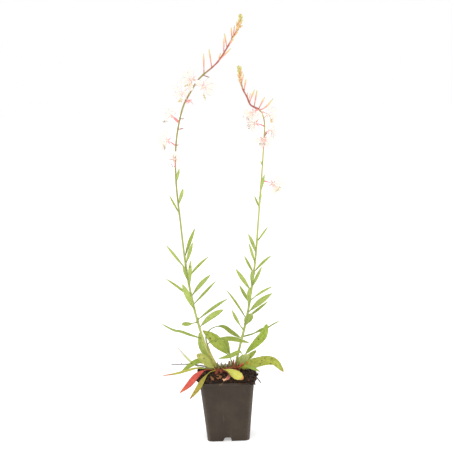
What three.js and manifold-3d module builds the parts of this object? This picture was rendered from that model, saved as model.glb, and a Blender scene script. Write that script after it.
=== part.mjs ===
// Whirling butterflies gaura in a square nursery pot: two flowering stems over a leafy crown.
// Millimetres, +Z up, seen from the front along +Y; the origin lies under the middle of the pot.
import * as THREE from "three";
import { mergeVertices } from "three/addons/utils/BufferGeometryUtils.js";
import Module from "manifold-3d";

const wasm = await Module();
wasm.setup();

// Driving dimensions
const POT_HEIGHT = 97;
const RIM_WIDTH = 90;
const FOOT_WIDTH = 67;
const COLLAR_HEIGHT = 5;
const COLLAR_STEP = 1.8;
const WALL = 1.5;
const CORNER = 9;
const SKIRT = 6.5;
const BASE_PLATE = 2;
const NOTCH = { footLeft: -9.8, footRight: 5.2, topLeft: -5.4, topRight: 3.5, height: 6.2 };
const DRAIN = { radius: 4, ring: 17 };
const SOIL_TOP = 106;
const SOIL_EDGE = 97.5;
const CROWN_HEIGHT = 108;
const STEM_FOOT = 82;
const GAP = 0.3;
const FINE = 0.06;
const LEAF_THICK = 0.7;
const PETAL_THICK = 0.6;
const PETAL = { length: 15, width: 8, turns: [-72, -24, 24, 72] };
const STAMEN = { count: 6, length: 14, radius: 0.35, anther: 2.6 };
const SEPAL = { length: 9, width: 2, turns: [-125, -55, 55, 125] };
const DISC = { from: 1.1, to: 3.4, radius: 1.9 };

const COLOURS = {
  pot: 0x4c443b, soil: 0x33261c, crown: 0x6b3526, stem: 0x7f9a3c, rachis: 0x9c4a3c,
  calyx: 0xc4505c, petal: 0xfdf6f4, leaf: 0x86a63f, old: 0xb49a45, red: 0xd0453c, dry: 0xc07a4a,
};

const v = (x, y, z) => new THREE.Vector3(x, y, z);
const UP = v(0, 0, 1);
const group = new THREE.Group();

// The same draw of numbers every time
let draw = 20260;
function random(low = 0, high = 1) {
  draw = (draw * 48271) % 2147483647;
  return low + (high - low) * (draw / 2147483647);
}

// Closed solids from points and faces
function solidOf(geometry) {
  const plain = geometry.clone();
  plain.deleteAttribute("normal");
  plain.deleteAttribute("uv");
  const merged = mergeVertices(plain, 1e-4);
  const vertProperties = Float32Array.from(merged.attributes.position.array);
  const triVerts = Uint32Array.from(merged.index.array);
  return new wasm.Manifold(new wasm.Mesh({ numProp: 3, vertProperties, triVerts }));
}

function solidFrom(points, faces) {
  const geometry = new THREE.BufferGeometry().setFromPoints(points);
  geometry.setIndex(faces.flat());
  return solidOf(geometry);
}

const joined = (solids) => wasm.Manifold.union(solids).simplify(FINE);

function largest(solid) {
  const bodies = solid.decompose();
  return bodies.reduce((best, body) => (body.volume() > best.volume() ? body : best));
}

function addMesh(name, solid, colour, roughness = 0.7) {
  const { vertProperties, triVerts, numProp } = largest(solid).getMesh();
  const geometry = new THREE.BufferGeometry();
  const points = [];
  for (let i = 0; i < vertProperties.length; i += numProp) {
    points.push(v(vertProperties[i], vertProperties[i + 1], vertProperties[i + 2]));
  }
  geometry.setFromPoints(points);
  geometry.setIndex(Array.from(triVerts));
  geometry.computeVertexNormals();
  const material = new THREE.MeshStandardMaterial({ color: colour, roughness, metalness: 0 });
  const mesh = new THREE.Mesh(geometry, material);
  mesh.name = name;
  group.add(mesh);
}

// A skin over rings of points, each ring counter-clockwise about the way they follow each other
function loft(rings) {
  const sides = rings[0].length;
  const faces = [];
  for (let i = 0; i + 1 < rings.length; i++) {
    for (let j = 0; j < sides; j++) {
      const a = i * sides + j;
      const b = i * sides + ((j + 1) % sides);
      faces.push([a, b, b + sides], [a, b + sides, a + sides]);
    }
  }
  const last = (rings.length - 1) * sides;
  for (let j = 1; j + 1 < sides; j++) {
    faces.push([0, j + 1, j], [last, last + j, last + j + 1]);
  }
  return solidFrom(rings.flat(), faces);
}

function tube(points, radii, sides = 6) {
  const rings = [];
  const start = points[1].clone().sub(points[0]);
  const steady = Math.abs(start.x) > Math.abs(start.z) ? UP : v(1, 0, 0);
  let across = steady;
  points.forEach((point, i) => {
    const before = points[Math.max(i - 1, 0)];
    const after = points[Math.min(i + 1, points.length - 1)];
    const along = after.clone().sub(before).normalize();
    across = across.clone().addScaledVector(along, -across.dot(along)).normalize();
    const other = along.clone().cross(across);
    const ring = [];
    for (let j = 0; j < sides; j++) {
      const turn = (2 * Math.PI * j) / sides;
      const spoke = across.clone().multiplyScalar(Math.cos(turn)).addScaledVector(other, Math.sin(turn));
      ring.push(point.clone().addScaledVector(spoke, radii[i]));
    }
    rings.push(ring);
  });
  return loft(rings);
}

// A thick sheet over a grid of points, split into triangles alike on both faces
function sheet(grid, thick) {
  const rows = grid.length;
  const columns = grid[0].length;
  const upper = [];
  const lower = [];
  const clamp = (i, top) => Math.min(Math.max(i, 0), top);
  for (let i = 0; i < rows; i++) {
    for (let j = 0; j < columns; j++) {
      const along = grid[clamp(i + 1, rows - 1)][j].clone().sub(grid[clamp(i - 1, rows - 1)][j]);
      const across = grid[i][clamp(j + 1, columns - 1)].clone().sub(grid[i][clamp(j - 1, columns - 1)]);
      const normal = along.cross(across).normalize();
      upper.push(grid[i][j].clone().addScaledVector(normal, thick / 2));
      lower.push(grid[i][j].clone().addScaledVector(normal, -thick / 2));
    }
  }
  const faces = [];
  const under = rows * columns;
  const quad = (a, b, c, d) => faces.push([a, b, c], [a, c, d]);
  for (let i = 0; i + 1 < rows; i++) {
    for (let j = 0; j + 1 < columns; j++) {
      const a = i * columns + j;
      const b = a + columns;
      faces.push([a, b, b + 1], [a, b + 1, a + 1]);
      faces.push([under + a, under + b + 1, under + b], [under + a, under + a + 1, under + b + 1]);
    }
    const left = i * columns;
    const right = left + columns - 1;
    quad(left, under + left, under + left + columns, left + columns);
    quad(right, right + columns, under + right + columns, under + right);
  }
  const tip = (rows - 1) * columns;
  for (let j = 0; j + 1 < columns; j++) {
    quad(j, j + 1, under + j + 1, under + j);
    quad(tip + j, under + tip + j, under + tip + j + 1, tip + j + 1);
  }
  return solidFrom([...upper, ...lower], faces);
}

// Half the width of a blade on its stalk, at a share of its length
function halfWidth({ width, stalk, foot, peak, full }, share) {
  const narrow = THREE.MathUtils.lerp(foot, 0.25, share);
  if (share <= stalk) return narrow;
  const along = (share - stalk) / (1 - stalk);
  return narrow + (width / 2 - 0.5) * Math.sin(Math.PI * along ** peak) ** full;
}

const WAVE_STEP = 1.9;

// A leaf or petal: its midrib from root to tip, bowed by bend or led through points
function blade(given) {
  const leaf = { bend: [0, 0, 0], roll: 0, fold: 0.18, wave: 0, teeth: 0, stalk: 0.1, foot: 0.8,
    peak: 1.05, full: 0.9, rows: 5, columns: 3, thick: LEAF_THICK, ...given };
  const { root, tip, rows, columns } = leaf;
  const middle = root.clone().add(tip).multiplyScalar(0.5).add(v(...leaf.bend));
  const midrib = leaf.through
    ? new THREE.CatmullRomCurve3([root, ...leaf.through.map((p) => v(...p)), tip], false, "centripetal")
    : new THREE.QuadraticBezierCurve3(root, middle, tip);
  const outward = tip.clone().sub(root).setZ(0).normalize();
  const level = leaf.across ?? UP.clone().cross(outward);
  const grid = [];
  for (let i = 0; i < rows; i++) {
    const share = i / (rows - 1);
    const point = midrib.getPoint(share);
    const along = midrib.getTangent(share);
    const side = level.clone().addScaledVector(along, -level.dot(along)).normalize();
    side.applyAxisAngle(along, THREE.MathUtils.degToRad(leaf.roll));
    const face = along.clone().cross(side);
    const tooth = 1 + leaf.teeth * (i % 2 ? 1 : -1);
    const half = halfWidth(leaf, share) * (share > leaf.stalk ? tooth : 1);
    const row = [];
    for (let j = 0; j < columns; j++) {
      const out = (2 * j) / (columns - 1) - 1;
      const swing = Math.sin(i * WAVE_STEP + (out > 0 ? 0 : 2));
      const ripple = 2 * leaf.wave * swing * Math.abs(out) * (half / leaf.width);
      const lift = leaf.fold * half * Math.abs(out) + ripple;
      row.push(point.clone().addScaledVector(side, out * half).addScaledVector(face, lift));
    }
    grid.push(row);
  }
  return sheet(grid, leaf.thick);
}

// A ring with rounded corners at a height
function squareRing(width, corner, height, steps = 3) {
  const ring = [];
  for (let side = 0; side < 4; side++) {
    for (let k = 0; k <= steps; k++) {
      const turn = (Math.PI / 2) * (side + k / steps);
      const quarter = (Math.PI / 2) * (side + 0.5);
      const reach = (width / 2 - corner) * Math.SQRT2;
      ring.push(v(reach * Math.cos(quarter) + corner * Math.cos(turn),
        reach * Math.sin(quarter) + corner * Math.sin(turn), height));
    }
  }
  return ring;
}

const BODY_TOP = POT_HEIGHT - COLLAR_HEIGHT;
const bodyWidth = (z) => THREE.MathUtils.lerp(FOOT_WIDTH, RIM_WIDTH - 2 * COLLAR_STEP - 1.2, z / BODY_TOP);
const wallRing = (z, inset) => squareRing(bodyWidth(z) - 2 * inset, CORNER - inset, z);

function pot() {
  const collar = (width, z) => squareRing(width, CORNER + 1, z);
  const outside = loft([
    wallRing(0, 0), wallRing(BODY_TOP, 0),
    collar(RIM_WIDTH - 1.6, BODY_TOP + 0.8), collar(RIM_WIDTH, POT_HEIGHT - 0.8),
    collar(RIM_WIDTH - 0.8, POT_HEIGHT),
  ]);
  const inside = loft([wallRing(SKIRT + BASE_PLATE, WALL), wallRing(POT_HEIGHT + 2, WALL)]);
  const under = loft([wallRing(-1, WALL), wallRing(SKIRT, WALL)]);
  const notch = new THREE.Shape([
    new THREE.Vector2(NOTCH.footLeft, -1), new THREE.Vector2(NOTCH.footRight, -1),
    new THREE.Vector2(NOTCH.topRight, NOTCH.height), new THREE.Vector2(NOTCH.topLeft, NOTCH.height),
  ]);
  const through = new THREE.ExtrudeGeometry(notch, { depth: FOOT_WIDTH + 20, bevelEnabled: false });
  through.translate(0, 0, -FOOT_WIDTH / 2 - 10).rotateX(Math.PI / 2);
  const holes = [[0, 0], [1, 1], [1, -1], [-1, 1], [-1, -1]].map(([x, y]) => {
    const hole = new THREE.CylinderGeometry(DRAIN.radius, DRAIN.radius, 20, 6).rotateX(Math.PI / 2);
    return solidOf(hole.translate(x * DRAIN.ring, y * DRAIN.ring, SKIRT));
  });
  const cuts = joined([inside, under, solidOf(through.clone()),
    solidOf(through.clone().rotateZ(Math.PI / 2)), ...holes]);
  return outside.subtract(cuts);
}

// Stems as smooth curves through places read from the front
const curveOf = (points) => new THREE.CatmullRomCurve3(points.map((p) => v(...p)), false, "centripetal");
const LEFT = {
  curve: curveOf([[-13, 0, STEM_FOOT], [-16, 0, 114], [-30, -1, 141], [-45, -4, 194], [-54, -6, 240],
    [-60, -7, 285], [-65, -8, 344], [-70, -6, 412], [-69, -3, 462], [-64, 0, 497], [-54, 5, 532],
    [-45, 7, 548], [-32, 10, 568], [-23, 11, 577], [-10, 13, 587], [1, 15, 597], [14, 17, 615],
    [24, 19, 631], [33, 20, 646], [37, 20, 656], [38.7, 20, 670]]),
  green: 425,
};
const RIGHT = {
  curve: curveOf([[15, 4, STEM_FOOT], [15, 4, 112], [23, 6, 146], [34, 8, 186], [43.4, 11, 234],
    [51.6, 12, 286], [57.4, 12, 343], [62.4, 9, 394], [67, 6, 442], [71, 3, 493], [70.5, 1, 504],
    [67.5, -2, 514], [62, -5, 521.5], [56, -6, 524.5], [50, -7, 528.5], [47, -8, 534], [44, -9, 542],
    [40, -10, 549.5], [36.5, -11, 559], [34.5, -12, 570], [32.8, -12, 589.5]]),
  green: 400,
};

// The share of a stem's curve at a height, and the point there
function shareAt(stem, height) {
  let low = 0;
  let high = 1;
  for (let i = 0; i < 30; i++) {
    const middle = (low + high) / 2;
    if (stem.curve.getPoint(middle).z < height) low = middle;
    else high = middle;
  }
  return low;
}
const pointAt = (stem, height) => stem.curve.getPoint(shareAt(stem, height));

function stemTube(stem, from, to, thick, steps, grow = 0) {
  const points = [];
  const radii = [];
  for (let i = 0; i <= steps; i++) {
    const share = THREE.MathUtils.lerp(from, to, i / steps);
    points.push(stem.curve.getPoint(share));
    radii.push(THREE.MathUtils.lerp(thick[0], thick[1], i / steps) + grow);
  }
  return tube(points, radii, 5);
}
const greenTube = (stem, grow = 0) => stemTube(stem, 0, shareAt(stem, stem.green), [2.1, 1.35], 16, grow);
const rachisTube = (stem, grow = 0) =>
  stemTube(stem, shareAt(stem, stem.green + GAP), 1, [1.4, 0.95], 24, grow);

// The crown: two woody knots on a short rhizome, cut stubs, a dry stalk and a taproot
const SUNK_ROOT = 0.4;
const KNOTS = [v(-15, -1, CROWN_HEIGHT), v(16, 3, CROWN_HEIGHT)];
const LOW = CROWN_HEIGHT - 1;
function woodyBase(grow = 0) {
  const pieces = KNOTS.map((centre) => {
    const knot = new THREE.IcosahedronGeometry(1, 1).scale(7 + grow, 6 + grow, 5.5 + grow);
    return solidOf(knot.translate(centre.x, centre.y, centre.z));
  });
  pieces.push(tube([v(-16, -1, LOW), v(-4, -4, LOW + 1), v(6, -2, LOW), v(17, 3, LOW)],
    [3.5, 3, 2.6, 3.5].map((r) => r + grow), 6));
  pieces.push(tube([v(-4, -3, LOW), v(-3, -2, LOW - 12), v(-4, -1, LOW - 34 - grow)],
    [4, 3, 1.4].map((r) => r + grow), 6));
  return joined(pieces);
}

function crown(grow = 0) {
  const pieces = [woodyBase(grow)];
  pieces.push(tube([v(-14, 2, CROWN_HEIGHT), v(-24, 6, 111), v(-55, 24, 114), v(-91, 50, 108)],
    [1.6, 1, 0.8, 0.5].map((r) => r + grow), 4));
  const stubs = [[-22, -5, 7], [-11, -7, 6], [-5, -6, 8], [1, -7, 6], [6, -5, 9], [11, -3, 7],
    [22, -1, 8], [-2, 2, 9]];
  stubs.forEach(([x, y, height], i) => {
    const lean = (i % 3) - 1;
    pieces.push(tube([v(x * 0.85, y * 0.6, CROWN_HEIGHT - 2), v(x + lean, y, CROWN_HEIGHT + height)],
      [1.6 + grow, 1.1 + grow], 3));
  });
  return joined(pieces);
}

// Peat mounded over the rim, spilling past it at the sides, with crumbs on it
const SPILL = 1.09;
const HEAP = 5;
const CRUMBS = { count: 10, near: 14, far: 40, small: 1.6, large: 3 };
const shoulder = (x) => (x > 18 ? 1.6 - 0.06 * (x - 18) : 1);
function soil() {
  const inset = WALL + GAP;
  const rings = [wallRing(SKIRT + BASE_PLATE + GAP, inset), wallRing(POT_HEIGHT - 2, inset),
    wallRing(POT_HEIGHT + GAP, inset)];
  const mound = [[1, 0], [0.99, 0.3], [0.88, 0.5], [0.68, 0.72], [0.46, 0.87], [0.22, 0.97], [0.04, 1]];
  const front = squareRing(RIM_WIDTH - 3, CORNER + 5, 0);
  const back = squareRing(RIM_WIDTH - 3, CORNER + 15, 0);
  const outline = front.map((p, i) => (p.y > 0 ? back[i] : p));
  mound.forEach(([spread, rise], i) => {
    const height = THREE.MathUtils.lerp(SOIL_EDGE, SOIL_TOP, rise);
    rings.push(outline.map((p) => {
      const past = Math.abs(p.x) > 30 && i < 2 ? SPILL : 1;
      const bump = i < 6 ? random(-1, 1.1) * rise : 0;
      const across = Math.exp(-(((p.y * spread - 16) / 15) ** 2)) * shoulder(p.x * spread);
      const heaped = i > 0 ? HEAP * across * Math.min(1, 3 * (1 - rise)) : 0;
      return v(p.x * spread * past, p.y * spread, height + bump + heaped);
    }));
  });
  const crumbs = [];
  for (let i = 0; i < CRUMBS.count; i++) {
    const turn = random(0, 2 * Math.PI);
    const far = random(CRUMBS.near, CRUMBS.far);
    const size = random(CRUMBS.small, CRUMBS.large);
    const crumb = new THREE.IcosahedronGeometry(size, 0).scale(1.2, 1, 0.8).rotateZ(turn);
    const share = 1 - (2 * far) / RIM_WIDTH;
    const height = THREE.MathUtils.lerp(SOIL_EDGE + 0.6, SOIL_TOP, share ** 0.6);
    crumbs.push(solidOf(crumb.translate(far * Math.cos(turn), far * Math.sin(turn), height)));
  }
  return joined([loft(rings), ...crumbs]);
}

// Leaves up a stem: height on the stem, reach of the tip, width, roll
const LEFT_LEAVES = [
  { at: 411, reach: [6, -6, 23], width: 4.5, roll: -40 },
  { at: 375, reach: [9, -14, 28], width: 5.8, roll: -32, peak: 1.3 },
  { at: 362, reach: [-16, 15, 29], width: 3.4, roll: -40 },
  { at: 292, reach: [18, 8, 46], width: 5.8, roll: 60, bend: [-1, 0, 2] },
  { at: 281, reach: [13, -10, 37], width: 5.8, roll: -50 },
  { at: 272, reach: [-30, -15, 43], width: 4.6, roll: 60, peak: 1.3 },
  { at: 252, reach: [-8, -14, 32], width: 6, roll: 25 },
  { at: 245, reach: [4, -28, 47], width: 6, roll: -5 },
  { at: 259, reach: [34, 20, 31], width: 4.4, roll: 60, bend: [-2, 0, 3] },
  { at: 229, reach: [32, -14, 37], width: 7.2, roll: -66, bend: [-2, 0, 3] },
  { at: 216, reach: [37, 20, 34], width: 4.4, roll: 60 },
  { at: 226, reach: [-42, 20, 30], width: 4.2, roll: -62, bend: [2, 0, 2] },
  { at: 206, reach: [-17, -31, 49], width: 9.5, roll: 28, full: 0.75 },
  { at: 190, reach: [49, -14, 36], width: 5.2, roll: -72, wave: 0.8, full: 0.7, bend: [-2, 0, 3] },
  { at: 178, reach: [39, -20, 32], width: 9.5, roll: -68, peak: 1.25, full: 0.6, bend: [-4, 0, 4] },
  { at: 187, reach: [-24, -41, 5], width: 9, roll: -40, peak: 1.5, stalk: 0.35, full: 0.7 },
  { at: 160, reach: [-67, 28, 20], width: 6, roll: -30, rows: 7, full: 0.6, stalk: 0.15,
    through: [[-45, 0, 162], [-57, 5, 165], [-71, 12, 169], [-83, 18, 170.5]] },
];
const RIGHT_LEAVES = [
  { at: 432, reach: [-3, -4, 9], width: 3 },
  { at: 376, reach: [2, -7, 14], width: 4, roll: -20 },
  { at: 391, reach: [7, -8, 29], width: 4.6, roll: -36 },
  { at: 366, reach: [-7, 11, 18], width: 3.4, roll: -28 },
  { at: 311, reach: [19, 12, 23], width: 3.2, roll: 60 },
  { at: 292, reach: [-12, -12, 34], width: 6, roll: 36, bend: [2, 0, 2] },
  { at: 277, reach: [-9, -18, 35], width: 4.6, roll: 16 },
  { at: 260, reach: [-14, 12, 28], width: 4.4, roll: -40 },
  { at: 240, reach: [1, -20, 31], width: 6.5, roll: -10 },
  { at: 262, reach: [30, 20, 24], width: 4.4, roll: 62, bend: [-1, 0, 3] },
  { at: 237, reach: [17, -10, 36], width: 5.5, roll: -58 },
  { at: 232, reach: [-24, -10, 39], width: 7, roll: 62 },
  { at: 213, reach: [-15, 14, 27], width: 5.5, roll: -40 },
  { at: 216, reach: [37, -12, 25], width: 4.4, roll: -66, stalk: 0.25, bend: [-2, 0, 3] },
  { at: 208, reach: [1, -25, 35], width: 7.5, roll: -5 },
  { at: 197, reach: [40, -10, 33], width: 9.5, roll: -74, bend: [-1, 0, 3] },
  { at: 189, reach: [36, 18, 23], width: 4.6, roll: 70 },
  { at: 177, reach: [10, -36, 27], width: 13, roll: -20, stalk: 0.1, full: 0.7 },
  { at: 187, reach: [-31, 28, 44], width: 3.8, roll: -46, bend: [2, 0, 2] },
  { at: 169, reach: [-18, -18, 38], width: 5.2, roll: 42, stalk: 0.3, bend: [-2, 0, -2] },
  { at: 159, reach: [61, 11, 22], width: 7, roll: 20, wave: 1.2, rows: 9, bend: [0, 0, -6] },
];

function leafyStem(name, stem, leaves) {
  const solids = leaves.map((leaf) => {
    const root = pointAt(stem, leaf.at);
    return blade({ ...leaf, root, tip: root.clone().add(v(...leaf.reach)) });
  });
  addMesh(name, joined([greenTube(stem), ...solids]), COLOURS.stem, 0.6);
}

// Leaves from the crown: root, tip, width, and how each one bows and turns
const YOUNG = { columns: 5, rows: 8, teeth: 0.05, stalk: 0.25, peak: 1.25, fold: 0.12 };
const CROWN_LEAVES = {
  leaf_big_left: { ...YOUNG, root: [11, 8, 112], tip: [-37, 14, 170], bend: [12, 0, 3], width: 19,
    roll: -62, stalk: 0.32, peak: 1.05 },
  leaf_back_left: { ...YOUNG, root: [-17, 7, 111], tip: [-42, 11, 167], width: 13, roll: -60,
    stalk: 0.15, full: 0.7, through: [[-30, 9, 128], [-38, 10, 146]] },
  leaf_toothed: { ...YOUNG, root: [-20, -7, 110], tip: [-47, -16, 137], bend: [1, 0, 4], width: 17.5,
    roll: -62, stalk: 0.1, full: 0.55, peak: 1 },
  leaf_arched_left: { root: [-23, 0, 110], tip: [-75, -4, 104], width: 9, roll: -60, rows: 9,
    stalk: 0.12, full: 0.7, through: [[-33, 4, 119], [-44, 3, 122.5], [-59, 0, 116]] },
  leaf_thin_left: { root: [-22, -6, 109], tip: [-102, -28, 108], width: 4.8, full: 0.6, roll: -40, rows: 8,
    through: [[-46, -12, 114.5], [-58, -17, 113.5], [-71, -21, 111], [-84, -24, 109]] },
  leaf_pale_back: { root: [-20, 6, 110], tip: [-84, 48, 141], width: 5, peak: 1.6, roll: -20, rows: 8,
    through: [[-47, 22, 109], [-64, 36, 119]] },
  leaf_red: { root: [-17, -10, 108], tip: [-75, -40, 82], width: 10.5, roll: -50, rows: 10, peak: 0.95,
    stalk: 0.3, through: [[-33, -16, 112], [-47, -27, 106.5], [-60, -35, 94]] },
  leaf_olive_front: { root: [-15, -8, 109], tip: [-59, -54, 75.5], width: 8, roll: -40,
    rows: 9, stalk: 0.35, through: [[-27, -26, 110.5], [-37, -43, 103.5], [-46, -51, 91]] },
  leaf_yellow_front: { root: [-2, -8.5, 110.5], tip: [26, -52, 105.5], width: 14.5, roll: 50, rows: 8,
    peak: 1.4, full: 0.5, stalk: 0.15, through: [[3, -20, 112.5], [13, -36, 110]] },
  leaf_curled_front: { root: [-6.5, -8, 109], tip: [-7, -47, 105], width: 6, fold: 0.6, rows: 8,
    through: [[-2, -22, 108.5], [0, -36, 105.5], [-1, -43, 103], [-4, -47.5, 102.5]] },
  leaf_arched_right: { ...YOUNG, root: [23, -1, 109], tip: [90, -30, 109], width: 20, roll: 45,
    stalk: 0.12, peak: 0.75, full: 0.65, rows: 9,
    through: [[36, -8, 117], [48, -15, 121], [63, -22, 125.5], [76, -27, 124.5]] },
  leaf_under_right: { root: [19, -4, 109], tip: [53, -44, 113.5], width: 7, roll: 20, rows: 8,
    through: [[33, -20, 116.5], [43, -33, 116]] },
  leaf_spotted_right: { ...YOUNG, root: [21, 8, 110], tip: [67, -4, 181], width: 16, roll: 58,
    full: 0.6, peak: 1.5, through: [[32, 5, 132], [48, 3, 148], [61, 0, 162.5]] },
  leaf_small_right: { root: [23, 9, 110], tip: [49, 20, 133], width: 9, roll: 60, full: 0.6,
    through: [[29, 10, 119], [39, 14, 126]] },
  leaf_folded_middle: { root: [16, -4, 111], tip: [-13, -17, 130], width: 7.5, roll: -60, rows: 9,
    stalk: 0.5, through: [[20, -7, 121], [25.5, -9.5, 133], [22, -11.5, 139], [7, -14, 133.5]] },
  leaf_pale_right: { root: [21, 2, 111], tip: [37.5, -5, 133], bend: [-2, -1, 1], width: 14, roll: -60,
    stalk: 0.08 },
  leaf_over_back: { root: [-13, 7, 111], tip: [25, 24, 153], width: 9.5, roll: 60, rows: 12, stalk: 0.6,
    foot: 1.4, through: [[-27, 12, 138], [-31, 15, 160], [-21, 18, 171], [-5, 21, 174], [10, 23, 163]] },
  leaf_over_front: { root: [-14.5, -6, 110], tip: [38, -16, 154], width: 8.5, roll: 55, rows: 11,
    stalk: 0.6, foot: 1.3, peak: 1.1, through: [[-25, -9, 134], [-29, -11, 152], [-16, -12, 159.5], [8, -14, 161]] },
  leaf_upright_back: { root: [5, 9, 110], tip: [-2, 22, 156.5], bend: [2, 1, -2], width: 9, roll: -50, peak: 2,
    full: 0.7, stalk: 0.3 },
};
const OLD_LEAVES = {
  leaf_red: COLOURS.red, leaf_curled_front: COLOURS.dry, leaf_yellow_front: COLOURS.old,
  leaf_olive_front: COLOURS.old, leaf_thin_left: COLOURS.old,
};

// Buds and stubs on the flowering part of a stem: height, reach, half width
const LEFT_BUDS = [
  { at: 578.5, reach: [0.3, 3, 32] }, { at: 588, reach: [-3.5, 2, 29] }, { at: 610, reach: [1, -1, 23] },
  { at: 618, reach: [-3.5, 4.5, 23] }, { at: 631, reach: [-0.5, 4, 19] },
  { at: 597, reach: [21, -5, 20] }, { at: 622, reach: [8, -3, 9] }, { at: 636, reach: [6.5, -3, 6] },
  { at: 598, reach: [4, -5, 12] }, { at: 510, reach: [7, -3, 0], wide: 0.9 },
  { at: 494, reach: [9, -4, 1], wide: 1 }, { at: 469, reach: [5, -3, 1], wide: 0.8 },
  { at: 577, reach: [10, -2, -4], wide: 0.8 }, { at: 448, reach: [-6, 3, 9], wide: 0.6 },
];
const RIGHT_BUDS = [
  { at: 521.5, reach: [10, -5, 18.5] }, { at: 520.5, reach: [21.5, -9, 17], sag: 4 },
  { at: 525, reach: [5.5, 4, 26] }, { at: 532, reach: [9, -3, 20] },
  { at: 535, reach: [4, -5, 12], wide: 0.7 }, { at: 549.5, reach: [4, -4, 19.5] },
  { at: 541, reach: [1.5, 5, 7], wide: 0.7 },
  { at: 478, reach: [5, -5, 7], wide: 0.8 }, { at: 470, reach: [-5, -3, 5], wide: 0.7 },
  { at: 553, reach: [-3, -2, 5], wide: 0.7 },
];

function bud(root, reach, wide = 1.15, sag = 0) {
  const shape = [[0, 0.65], [0.65, 1.15], [1, 0.35]];
  const points = shape.map(([share]) =>
    root.clone().addScaledVector(reach, share).addScaledVector(UP, -4 * sag * share * (1 - share)));
  return tube(points, shape.map(([, radius]) => radius * wide), 3);
}

const GOLDEN_TURN = 2.4;

// The young tip: small buds set round the end of the stem, shorter towards the top
function tipBuds(stem, from, count, length) {
  const buds = [];
  const start = shareAt(stem, from);
  for (let i = 0; i < count; i++) {
    const share = THREE.MathUtils.lerp(start, 0.975, (i / (count - 1)) ** 0.65);
    const turn = i * GOLDEN_TURN;
    const along = stem.curve.getTangent(share);
    const side = UP.clone().cross(along).normalize();
    side.applyAxisAngle(along, turn);
    const long = THREE.MathUtils.lerp(length, length * 0.65, i / count);
    const reach = along.clone().addScaledVector(side, 0.5).multiplyScalar(long);
    buds.push(bud(stem.curve.getPoint(share), reach, 1.1));
  }
  return buds;
}

function spike(name, stem, buds, tips) {
  const solids = buds.map(({ at, reach, wide, sag }) => bud(pointAt(stem, at), v(...reach), wide, sag));
  addMesh(name, joined([rachisTube(stem), ...solids, ...tips]), COLOURS.rachis, 0.6);
}

// A bloom: a pink tube with folded-back sepals, and apart from it four petals fanned to one
// side with the stamens and style hanging out of the mouth
function calyx(bloom) {
  const { root, mouth, out, fan, across } = bloom;
  const middle = root.clone().lerp(mouth, 0.5).addScaledVector(UP, 1.5);
  const way = new THREE.QuadraticBezierCurve3(root, middle, mouth);
  const points = [0, 0.35, 1].map((share) => way.getPoint(share));
  const throat = mouth.clone().addScaledVector(out, -0.35);
  const fat = bloom.fat ?? 1;
  const solids = [tube(points, [0.9 * fat, 1.3 * fat, 0.95], 4),
    solidOf(new THREE.IcosahedronGeometry(1.05, 0).translate(throat.x, throat.y, throat.z))];
  for (const turn of SEPAL.turns) {
    const angle = THREE.MathUtils.degToRad(turn);
    const flat = fan.clone().multiplyScalar(-Math.cos(angle)).addScaledVector(across, Math.sin(angle));
    const direction = flat.clone().multiplyScalar(bloom.splay ?? 0.8).addScaledVector(out, -0.55);
    direction.normalize();
    const start = mouth.clone().addScaledVector(out, -0.6).addScaledVector(flat, 0.55);
    const along = (far) => start.clone().addScaledVector(direction, far * SEPAL.length);
    solids.push(tube([start, along(0.5), along(1)], [0.5, SEPAL.width / 2, 0.35], 3));
  }
  return joined(solids);
}

function corolla(bloom) {
  const { mouth, out, fan, across, hang } = bloom;
  const centre = mouth.clone().addScaledVector(out, (DISC.from + DISC.to) / 2);
  const disc = tube([DISC.from, DISC.to].map((far) => mouth.clone().addScaledVector(out, far)),
    [DISC.radius, DISC.radius], 4);
  const solids = [disc];
  const size = bloom.size ?? 1;
  for (const turn of bloom.petals ?? PETAL.turns) {
    const angle = THREE.MathUtils.degToRad(turn);
    const flat = fan.clone().multiplyScalar(Math.cos(angle)).addScaledVector(across, Math.sin(angle));
    const direction = flat.clone().addScaledVector(out, 0.2).normalize();
    solids.push(blade({ root: centre.clone().addScaledVector(flat, 1.15).addScaledVector(out, -0.5),
      tip: centre.clone().addScaledVector(direction, PETAL.length * size),
      across: direction.clone().cross(out).normalize(), width: PETAL.width * size, rows: 4, foot: 0.32,
      stalk: 0.1, peak: 1.5, full: 0.75, fold: -0.12, thick: PETAL_THICK,
      bend: out.clone().multiplyScalar(1.6).toArray() }));
  }
  for (let i = 0; i <= STAMEN.count; i++) {
    const style = i === STAMEN.count;
    const column = style ? 0 : (i % 3) * 1.4 - 1.4;
    const layer = style ? 0 : Math.floor(i / 3) * 2 - 1;
    const long = STAMEN.length * (style ? 1.2 : 1 - 0.07 * (i % 2));
    const start = centre.clone().addScaledVector(across, column * 0.62)
      .addScaledVector(out, layer * 0.4 + 0.5).addScaledVector(hang, 0.5);
    const direction = hang.clone().addScaledVector(across, column * 0.22)
      .addScaledVector(out, 0.4 + 0.12 * layer).normalize();
    const along = (far) => start.clone().addScaledVector(direction, far);
    const swell = style ? 0.8 : STAMEN.anther;
    solids.push(tube([start, along(long - swell), along(long - swell * 0.8), along(long)],
      [STAMEN.radius, STAMEN.radius, 0.7, 0.5], 3));
  }
  return joined(solids);
}

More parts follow.
